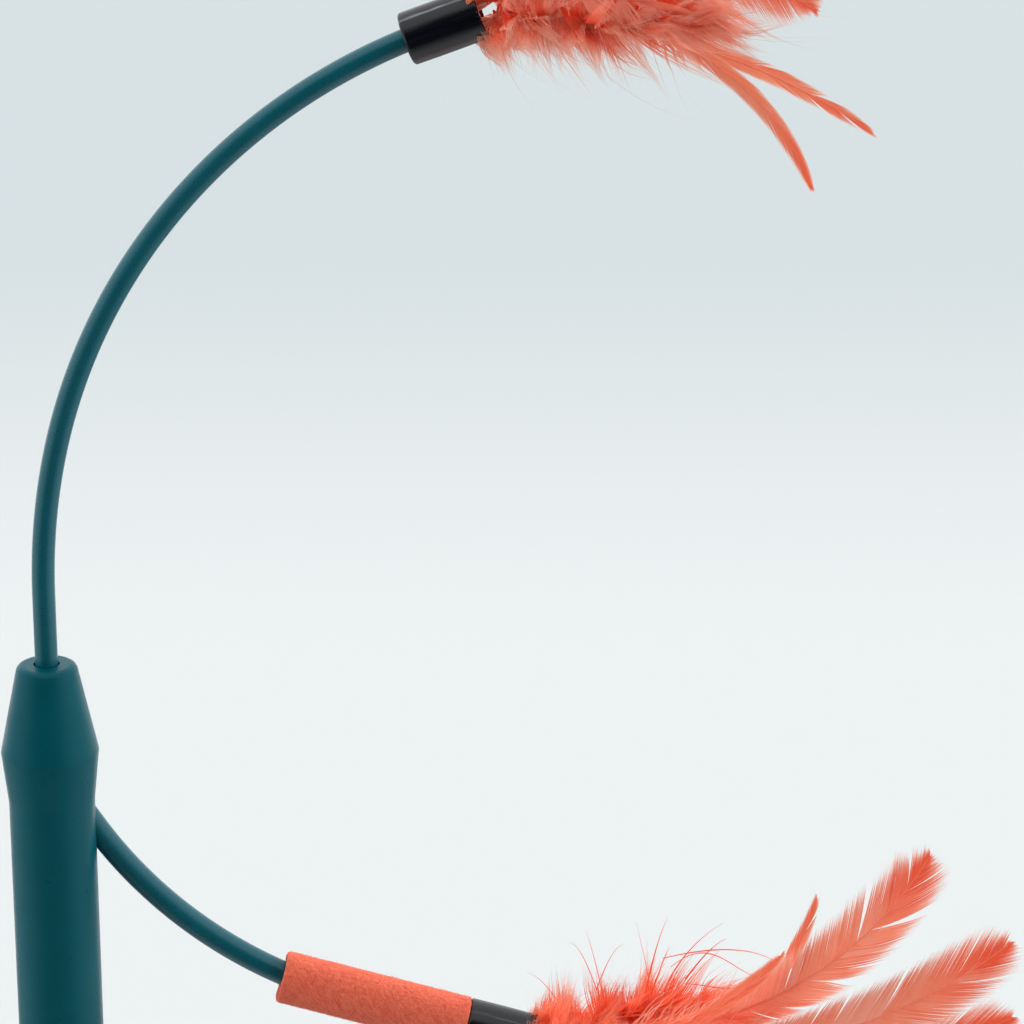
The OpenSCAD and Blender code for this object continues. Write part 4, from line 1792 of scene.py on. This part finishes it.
@dataclass
class Plume:
    """One marabou plume: a stem with flat locks of fine strands all round it."""

    name: str
    node: str
    arm: Arm
    lure: Lure
    up: int
    back: int
    root: float
    seed: int
    length: float = 62.0
    radius: float = 20.0
    spread: float = 22.0
    root_up: float = 2.6
    root_back: float = 4.4
    open_foot: float = 6.0
    crossing: float = 4.5
    crossing_share: float = 0.5
    tuft_count: int = 60
    inward: float = 0.3
    locks: int = 230
    members: int = 28
    lock_widths: tuple = (1.1, 3.8)
    pointed: float = 0.5
    halo: int = 900
    wisps: int = 34
    quill_d: float = 1.1
    last_tuft: float = 0.92
    stem_end: float = 0.96
    leans: tuple = (96, 82, 64, 46, 30)
    profile: tuple = ((0, 1.0), (0.1, 1.15), (0.3, 1.2), (0.5, 1.05), (0.7, 0.85), (0.85, 0.7), (1, 0.5))

    def stem(self, along: np.ndarray) -> np.ndarray:
        """Places of points on the stem, in the lure's axes.

        Args:
            along: Distances from the ferrule's mouth.

        Returns:
            Local points.
        """
        way = math.atan2(self.up, self.back)
        opening = self.spread * DEGREE * smooth_step(-6, 26, along)
        side = np.sin(opening) * np.maximum(along, 0) * 0.94
        x = np.where(along > 0, np.cos(opening) * along, along)
        return np.stack([
            x, self.back * self.root_back * 0.8 + side * math.cos(way),
            self.up * self.root_up + side * math.sin(way),
        ], axis=-1)

    def curl(self, start: np.ndarray, azimuth: np.ndarray, lean: np.ndarray, reach: np.ndarray,
             t: np.ndarray, bend: float, draw: np.random.Generator) -> np.ndarray:
        """Middle lines of locks that leave the stem, bend forward and wave a little.

        Args:
            start: Distances along the stem where they leave it.
            azimuth: Ways round the stem that they leave it.
            lean: Angles from the stem's direction.
            reach: How far out they reach.
            t: Shares along them.
            bend: Greatest share of the lean that they lose towards the end.
            draw: Source of random numbers.

        Returns:
            Local points, lock by step by axis.
        """
        count = len(start)
        origin = self.stem(start)
        ahead = unit(self.stem(start + 1) - origin)
        out = np.stack([np.zeros(count), np.cos(azimuth), np.sin(azimuth)], axis=-1)
        out = unit(out - ahead * np.sum(out * ahead, axis=-1, keepdims=True))
        third = np.cross(ahead, out)
        clear = smooth_step(0, 12, start)[:, None]
        outward = np.array([0.0, float(self.back), 0.0]) * draw.uniform(0.3, 3.8, (count, 1))
        crossing = draw.uniform(0, self.crossing, (count, 1))
        crossing = crossing * (draw.random((count, 1)) < self.crossing_share)
        crossing = crossing * smooth_step(0.0, 0.6, self.up * out[:, 2:])
        origin = origin + (outward - out * crossing) * clear
        long = (reach + 0.6 * (crossing * clear)[:, 0]) / np.maximum(np.sin(lean * 0.85), 0.5)
        heading = lean[:, None] * (1 - draw.uniform(-0.1 * bend, bend, (count, 1)) * t)
        run = np.cumsum(np.cos(heading), axis=1) / t.shape[1] * long[:, None]
        rise = np.cumsum(np.sin(heading), axis=1) / t.shape[1] * long[:, None]
        phase = draw.uniform(0, 6.3, (count, 1))
        sway = np.sin(t * draw.uniform(2.0, 5.0, (count, 1)) + phase) - np.sin(phase)
        sway = sway * draw.uniform(0.02, 0.11, (count, 1)) * long[:, None]
        run, rise = run - run[:, :1], rise - rise[:, :1]
        return (
            origin[:, None] + run[..., None] * ahead[:, None] + rise[..., None] * out[:, None]
            + sway[..., None] * third[:, None]
        )

    def clear_of_quills(self, start: np.ndarray, azimuth: np.ndarray,
                        draw: np.random.Generator) -> np.ndarray:
        """Ways round the stem, turned up or down near the mouth so that the quills stay in view.

        Args:
            start: Distances along the stem.
            azimuth: Ways round it.
            draw: Source of random numbers.

        Returns:
            The ways to use.
        """
        upright = self.up * math.pi / 2 + draw.normal(0, 0.5, len(start))
        return np.where(start < self.open_foot, upright, azimuth)

    def tufts(self, draw: np.random.Generator) -> tuple:
        """Soft tufts that the down gathers in.

        Args:
            draw: Source of random numbers.

        Returns:
            For each tuft its distance along the stem, its way round the stem, its share of the
            plume's reach and its tint.
        """
        count = self.tuft_count
        start = self.length * self.last_tuft * (np.arange(count) + draw.random(count)) / count
        way = math.atan2(self.up, self.back)
        inward = draw.random(count) < self.inward
        round_way = way + np.where(inward, math.pi, 0) + draw.normal(0, 1.0, count)
        azimuth = self.clear_of_quills(start, round_way, draw)
        far = draw.uniform(0.62, 1.06, count) * np.where(inward, 0.7, 1.0)
        return start, azimuth, far, draw.random(count)

    def in_tufts(self, tufts: tuple, count: int, fan: float, draw: np.random.Generator) -> tuple:
        """Shares strands out over the tufts, so that each tuft opens like a fan.

        Args:
            tufts: What tufts() gave.
            count: Number of strands.
            fan: Width of the fans, 1 for locks and more for loose hairs.
            draw: Source of random numbers.

        Returns:
            For each strand its start, way round, lean, reach and tint.
        """
        start, azimuth, far, tint = tufts
        which = draw.integers(0, len(start), count)
        ahead, aside = draw.normal(0, 1, (2, count))
        foot = np.clip(start[which] + 1.5 * ahead, 0, 0.95 * self.length)
        lean = np.interp(foot / self.length, (0, 0.2, 0.5, 0.8, 1), self.leans) - 10 * fan * ahead
        lean = np.clip(lean + draw.normal(0, 6 * fan, count), 12, 124) * DEGREE
        dome = 1 - 0.1 * np.minimum(ahead**2 + aside**2, 4)
        reach = self.radius * lookup(self.profile, foot / self.length) * far[which] * dome
        tone = tint[which] * 0.34 + draw.random(count) * 0.42 + draw.normal(0, 0.03, count)
        return foot, azimuth[which] + 0.27 * fan * aside, lean, reach, np.clip(tone, 0, 0.78)

    def bundles(self, shell: Shell, tufts: tuple, draw: np.random.Generator) -> None:
        """Adds the locks, each a flat bundle of strands that close to a point.

        Args:
            shell: Mesh that gets them.
            tufts: What tufts() gave.
            draw: Source of random numbers.
        """
        count, steps = self.locks, 9
        start, azimuth, lean, reach, tone = self.in_tufts(tufts, count, 1.0, draw)
        t = np.linspace(0, 1, steps)[None, :]
        path = self.curl(start, azimuth, lean, reach * draw.uniform(0.72, 1.06, count), t, 0.55, draw)
        tangent = unit(np.gradient(path, axis=1))
        stem_way = unit(self.stem(start + 1) - self.stem(start))[:, None]
        lean_way = stem_way + 0.42 * draw.normal(0, 1, (count, 1, 3))
        flat = unit(lean_way - tangent * np.sum(lean_way * tangent, axis=-1, keepdims=True))
        half_lock = draw.uniform(*self.lock_widths, count)
        pointed = draw.random((count, 1)) < self.pointed
        closing = np.where(pointed, 0.9, draw.uniform(-0.1, 0.4, (count, 1)))
        swell = (0.06 + 1.39 * np.sin(math.pi * 0.5 * t**0.75)) * (1 - closing * smooth_step(0.45, 1.0, t))
        shares = np.linspace(-1, 1, self.members)[None, :] + draw.normal(0, 0.06, (count, self.members))
        shift = shares[..., None] * (half_lock[:, None] * swell)[:, None]
        depth = draw.normal(0, 0.08, (count, self.members, 1)) * np.sin(math.pi * t)[:, None]
        normal = np.cross(flat, tangent)
        paths = path[:, None] + shift[..., None] * flat[:, None] + depth[..., None] * normal[:, None]
        keep = (1 - 0.34 * np.abs(shares) * draw.uniform(0.2, 1.2, shares.shape))
        keep = (keep * (1.08 - 0.55 * draw.random(shares.shape) ** 1.6))[..., None, None]
        paths = paths[:, :, :1] + (paths - paths[:, :, :1]) * keep
        width = half_lock[:, None] * 2.3 / self.members * np.ones((1, self.members))
        across = np.broadcast_to(flat[:, None], paths.shape)
        self.lay(
            shell, paths.reshape(-1, steps, 3), np.repeat(tone, self.members), t, width.ravel(),
            across.reshape(-1, steps, 3),
        )

    def lay(self, shell: Shell, paths: np.ndarray, tone: np.ndarray, t: np.ndarray,
            widths: np.ndarray, flat: np.ndarray) -> None:
        """Turns local middle lines into strands of the mesh.

        Args:
            shell: Mesh that gets them.
            paths: Local middle lines.
            tone: A number between 0 and 1 for each strand, for its tint.
            t: Shares along the strands.
            widths: Width of each strand at its foot.
            flat: Local direction of the width at each point.
        """
        placed = self.lure.held_in(self.lure.place(paths))
        tangent = unit(np.gradient(placed, axis=1))
        way = unit(self.lure.held_in(self.lure.place(paths + flat)) - placed)
        ridge = unit(np.cross(way, tangent))
        across = np.cross(tangent, ridge)
        half = widths[:, None] * (1 - 0.94 * smooth_step(0.1, 1.0, t)) * MM * 0.5
        add_ribbons(
            shell, placed, half, across, 1,
            along=np.broadcast_to(t, half.shape), tone=np.broadcast_to(tone[:, None], half.shape),
        )

    def single(self, shell: Shell, tufts: tuple, draw: np.random.Generator, count: int,
               hair: Hair) -> None:
        """Adds single hairs.

        Args:
            shell: Mesh that gets them.
            tufts: What tufts() gave.
            draw: Source of random numbers.
            count: Number of hairs.
            hair: What they are like.
        """
        t = np.linspace(0, 1, 12)[None, :]
        start, azimuth, lean, reach, _ = self.in_tufts(tufts, count, 2.2, draw)
        path = self.curl(start, azimuth, lean, reach * draw.uniform(*hair.reach, count), t, 1.2, draw)
        flat = np.broadcast_to(unit(draw.normal(0, 1, (count, 1, 3))), path.shape)
        self.lay(
            shell, path, draw.uniform(*hair.tone, count), hair.foot + (1 - hair.foot) * t,
            draw.uniform(*hair.width, count), flat,
        )

    def build(self, shaft: bpy.types.Material, down: bpy.types.Material) -> bpy.types.Object:
        """Builds the plume.

        Args:
            shaft: Finish of the stem.
            down: Finish of the down.

        Returns:
            The object, on the lure's body.
        """
        draw = np.random.default_rng(self.seed)
        shell = Shell()
        along = np.linspace(-self.root, self.length * self.stem_end, 40)
        add_stem(
            shell, self.lure.place(self.stem(along)), (0.3, 0.9, 0.2),
            np.interp(along, (0, self.length), (1, 0.2)) * self.quill_d / 2 * MM, 8,
            reach=np.clip(along / self.length, 0, 1),
        )
        tufts = self.tufts(draw)
        self.bundles(shell, tufts, draw)
        self.single(shell, tufts, draw, self.halo, HALO)
        self.single(shell, tufts, draw, self.wisps, WISP)
        piece = shell.build(self.name, [shaft, down])
        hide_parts(self.node)
        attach(piece, f"{self.arm.value}_lure")
        log.info("built %s, %d faces", piece.name, len(piece.data.polygons))
        return piece


@dataclass
class StrayStrands:
    """Curled loose barbs and pointed spikes that stand out of the lower lure's down.

    Each line is its corners as (along, up). A look is the thickness of the curls, spikes or hairs
    and the share of the colour's run at their foot.
    """

    lure: Lure
    curls: tuple = (
        ((28.1, 33.4), (34.2, 36.3), (42.8, 39.4), (50.6, 41.3), (58.6, 40.7)),
        ((31.2, 30.7), (39.5, 36.9), (48.0, 35.5), (56.9, 34.1)),
        ((36.0, 27.0), (43.6, 27.6), (50.0, 29.0), (53.9, 35.2)),
    )
    spikes: tuple = (
        ((31.0, 24.0), (34.5, 37.1), (41.2, 48.7)),
        ((36.0, 29.0), (40.1, 38.2), (43.5, 43.7)),
        ((26.4, 22.0), (25.7, 35.8), (25.9, 45.7)),
        ((28.0, 22.0), (28.8, 32.9), (29.0, 37.1)),
    )
    hairs: tuple = (
        ((15.8, 17.2), (9.4, 28.6), (5.2, 35.6)),
        ((13.7, 17.6), (6.4, 26.8), (1.9, 29.4)),
        ((13.4, 18.5), (14.7, 28.6), (17.0, 33.8)),
        ((5.3, 11.1), (-1.8, 16.3), (-7.0, 18.5)),
        ((28.0, 22.6), (22.8, 32.4), (18.1, 41.3)),
    )
    looks: tuple = ((0.42, 0.5), (0.55, 0.45), (0.3, 0.5))
    steps: int = 40
    seed: int = 71

    def smooth_line(self, corners: tuple, back: float) -> np.ndarray:
        """A smooth line near corners given as (along, up).

        Args:
            corners: The corners.
            back: How far behind the lure's plane it lies.

        Returns:
            Local points.
        """
        corners = np.array(corners)
        knots = np.linspace(0, 1, len(corners))
        t = np.linspace(0, 1, self.steps)
        degree = min(len(corners) - 1, 3)
        along = np.polyval(np.polyfit(knots, corners[:, 0], degree), t)
        up = np.polyval(np.polyfit(knots, corners[:, 1], degree), t)
        return np.stack([along, back + 1.5 * np.sin(3 * t), up], axis=-1)

    def build(self, down: bpy.types.Material) -> bpy.types.Object:
        """Builds them as one piece.

        Args:
            down: Finish of the strands.

        Returns:
            The object, on the lower lure's body.
        """
        draw = np.random.default_rng(self.seed)
        shell = Shell()
        t = np.linspace(0, 1, self.steps)
        for lines, (thick, foot) in zip((self.curls, self.spikes, self.hairs), self.looks):
            for corners in lines:
                paths = self.lure.place(self.smooth_line(corners, draw.uniform(0, 4)))
                taper = (1 - 0.55 * np.abs(2 * t - 0.8)) if lines is self.curls else (1 - 0.9 * t)
                radii = np.maximum(thick * taper * draw.uniform(0.75, 1.1), 0.06) / 2 * MM
                add_stem(
                    shell, paths, (0.0, 1.0, 0.0), radii, 8, along=foot + (0.85 - foot) * t,
                    tone=np.full(self.steps, draw.uniform(0.3, 0.6)),
                )
        piece = shell.build("lower_stray_strands", [down])
        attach(piece, "lower_lure")
        log.info("built %s", piece.name)
        return piece


# Whole wand


# Quills of a lure, in pitches behind and above its axis
QUILL_PLACES = ((-2, 1.1), (-1, -1.5), (0, 2.2), (1, -1.5), (2, 1.1))

# Arm, kind, number, quill place, slope, bend radius, side of the bend, length, bare shaft and seed
FEATHERS = (
    (Arm.UPPER, BROAD, 1, 0, 16.2, 74, -1, 92.5, 36, 26),
    (Arm.UPPER, BROAD, 2, 2, 13, 260, 1, 132, 44, 22),
    (Arm.UPPER, BROAD, 3, 4, 28, 240, -1, 124, 42, 23),
    (Arm.UPPER, NARROW, 1, 1, -5.2, 71, -1, 105, 46, 24),
    (Arm.UPPER, NARROW, 2, 3, -18.5, 165, -1, 109, 46, 25),
    (Arm.LOWER, BROAD, 1, 2, 5.2, 101, 1, 131, 46, 31),
    (Arm.LOWER, BROAD, 2, 0, 3.4, 147, 1, 143, 50, 32),
    (Arm.LOWER, BROAD, 3, 4, -9.0, 172, 1, 143, 48, 33),
    (Arm.LOWER, NARROW, 1, 3, -6.2, 58.5, 1, 105, 50, 34),
    (Arm.LOWER, NARROW, 2, 1, 10.7, 79, 1, 81, 40, 35),
)

# Plumes by side of the axis, up and back
QUARTERS = ((-1, -1), (-1, 1), (1, -1), (1, 1))
PUFFS = ((0, 0.9), (0.1, 1.2), (0.2, 1.5), (0.31, 1.15), (0.4, 1.0), (0.53, 1.22), (0.65, 1.1), (1, 0.5))


@dataclass
class Wand:
    """The whole wand: routes of both arms, and the parts hung on them.

    Each ferrule is given as diameter, length and bore, each bend as radius and turn, and each joint
    as the stretch of its rod that bends.
    """

    handle_top: float = 150.0
    grip_r: float = 11.65
    lower_y: float = 4.0
    wire_before: float = 7.95
    wire_in_tip: float = 15.1
    tube_in_tip: float = 10.4
    upper_seat: float = 22.0
    upper_first: float = 42.0
    upper_bends: tuple = ((176.7, -13), (158.4, -57))
    upper_rod_d: float = 6.2
    upper_in_tip: float = 7.0
    upper_ferrule: tuple = (14.0, 20.4, 6.3)
    upper_sway: tuple = (22, 62)
    upper_flex: tuple = (62, 152)
    lower_exit: float = 49.0
    lower_slope: float = -57.0
    lower_seat: float = 14.0
    lower_bends: tuple = ((125, 30), (80, 11.3))
    lower_rod_d: float = 6.7
    lower_in_felt: float = 12.8
    lower_ferrule: tuple = (14.4, 19.6, 6.8)
    lower_sway: tuple = (14, 34)
    lower_flex: tuple = (34, 76)
    felt_length: float = 52.7
    felt_hole_offset: float = 1.02
    quill_root: float = 8.8

    def upper_route(self) -> Route:
        """Route of the upper rod from its seat in the nose.

        Returns:
            The route.
        """
        route = Route(Station(0, self.handle_top - self.upper_seat, 90), 0.0)
        route.straight(self.upper_first)
        for radius, turn in self.upper_bends:
            route.bend(radius, turn)
        return route

    def lower_route(self) -> Route:
        """Route of the lower rod from its seat in the side of the handle.

        Returns:
            The route.
        """
        out = math.sqrt(self.grip_r**2 - self.lower_y**2)
        leave = Station(out, self.handle_top - self.lower_exit, self.lower_slope)
        route = Route(leave.ahead(-self.lower_seat), self.lower_y)
        route.straight(self.lower_seat)
        for radius, turn in self.lower_bends:
            route.bend(radius, turn)
        return route

    def upper_tip(self) -> Station:
        """Start of the upper ferrule."""
        return self.upper_route().end().ahead(-self.upper_in_tip)

    def felt_start(self) -> Station:
        """Start of the felt."""
        return self.lower_route().end().ahead(-self.lower_in_felt)

    def rods(self) -> None:
        """Builds the rods and their wires."""
        coat = RodCoat("teal_rod_coat", paint(0, 85, 98), paint(4, 93, 105)).make()
        steel = Metal("spring_steel", paint(186, 188, 190), 0.2).make()
        upper, lower = self.upper_route(), self.lower_route()
        for arm, route, diameter, tip, sway, flex in (
            (Arm.UPPER, upper, self.upper_rod_d, upper.length - self.upper_in_tip,
             self.upper_sway, self.upper_flex),
            (Arm.LOWER, lower, self.lower_rod_d, lower.length - self.lower_in_felt + self.felt_length,
             self.lower_sway, self.lower_flex),
        ):
            route.straight(tip + self.wire_in_tip - route.length)
            RodMaker(
                arm, route, diameter, self.wire_before, tip + self.wire_in_tip, tip + self.tube_in_tip,
                sway, flex,
            ).build(coat, steel)

    def ferrules(self) -> None:
        """Builds both ferrules and the felt."""
        upper_start, felt_start = self.upper_tip(), self.felt_start()
        upper = ShrinkTube("upper_shrink_tube", upper_start.heading).make()
        lower = ShrinkTube("lower_shrink_tube", felt_start.heading).make()
        felt = FeltCloth("coral_felt", felt_start.heading).make()
        lower_start = felt_start.ahead(self.felt_length)
        Ferrule(Arm.UPPER, upper_start, 0.0, *self.upper_ferrule).build(upper)
        # The lower ferrule gets a weaker painted highlight streak.
        Ferrule(Arm.LOWER, lower_start, self.lower_y, *self.lower_ferrule, painted_glint=0.45, seed=17).build(lower)
        FeltSleeve(felt_start, self.lower_y, self.felt_hole_offset, length=self.felt_length).build(felt)

    def lures(self) -> None:
        """Builds the feathers and the down of both lures."""
        upper = Lure(self.upper_tip().ahead(self.upper_ferrule[1]), 0.0)
        lower = Lure(self.felt_start().ahead(self.felt_length + self.lower_ferrule[1]), self.lower_y)
        shaft = Rachis("feather_shaft").make()
        self.feathers({Arm.UPPER: upper, Arm.LOWER: lower}, shaft)
        self.plumes({Arm.UPPER: upper, Arm.LOWER: lower}, shaft)

    def feathers(self, lures: dict, shaft: bpy.types.Material) -> None:
        """Builds the feathers of both lures.

        Args:
            lures: Lures by arm.
            shaft: Finish of the shafts.
        """
        vanes = {
            "broad": DyedFeather("broad_coral_vane").make(),
            "narrow": DyedFeather(
                "narrow_coral_vane", paint(255, 168, 132), paint(255, 136, 98), paint(255, 204, 180),
            ).make(),
        }
        for arm, kind, number, place, slope, radius, side, length, bare, seed in FEATHERS:
            Feather(
                f"{arm.value}_{kind.word}_feather_{number}", f"{arm.value}_{kind.word}_{number}", arm,
                lures[arm], kind, QUILL_PLACES[place], slope, radius, side, length, bare,
                self.quill_root, seed,
            ).build(shaft, vanes[kind.word])

    def plume_habit(self, arm: Arm, up: int) -> dict:
        """How the plumes of one side differ from the usual ones.

        Args:
            arm: Arm of the lure.
            up: 1 above the lure's axis and -1 below it.

        Returns:
            Fields of Plume by name.
        """
        if arm is Arm.LOWER:
            return {
                "profile": PUFFS, "pointed": 0.15, "leans": (100, 90, 70, 50, 34), "locks": 330,
                "members": 20, "lock_widths": (0.9, 2.9),
            }
        if up < 0:
            return {
                "radius": 24.0, "crossing": 13.0, "crossing_share": 0.8, "inward": 0.1, "pointed": 0.85,
                "lock_widths": (1.5, 4.2),
            }
        return {}

    def plumes(self, lures: dict, shaft: bpy.types.Material) -> None:
        """Builds the down of both lures.

        Args:
            lures: Lures by arm.
            shaft: Finish of the stems.
        """
        down = {
            Arm.UPPER: DyedDown("coral_down").make(),
            # Its first colour is the deep red painted shade of the core.
            Arm.LOWER: DyedDown(
                "deep_coral_down", paint(250, 92, 56), paint(255, 132, 90), paint(255, 196, 172),
                pale_from=0.62, pale_share=0.75, pale_locks=0.25,
            ).make(),
        }
        for arm, first_seed in ((Arm.UPPER, 41), (Arm.LOWER, 51)):
            for number, (up, back) in enumerate(QUARTERS, 1):
                Plume(
                    f"{arm.value}_down_plume_{number}", f"{arm.value}_plume_{number}", arm, lures[arm], up,
                    back, self.quill_root, first_seed + number - 1, **self.plume_habit(arm, up),
                ).build(shaft, down[arm])
        StrayStrands(lures[Arm.LOWER]).build(down[Arm.LOWER])


def main() -> None:
    """Builds the studio, dresses the frame and builds the soft and bent pieces."""
    Studio().build()
    wand = Wand()
    FrameFinishes(wand.upper_tip().heading, wand.felt_start().heading).dress()
    wand.rods()
    wand.ferrules()
    wand.lures()


if __name__ == "__main__":
    logging.basicConfig(level=logging.INFO, format="%(message)s")
    main()
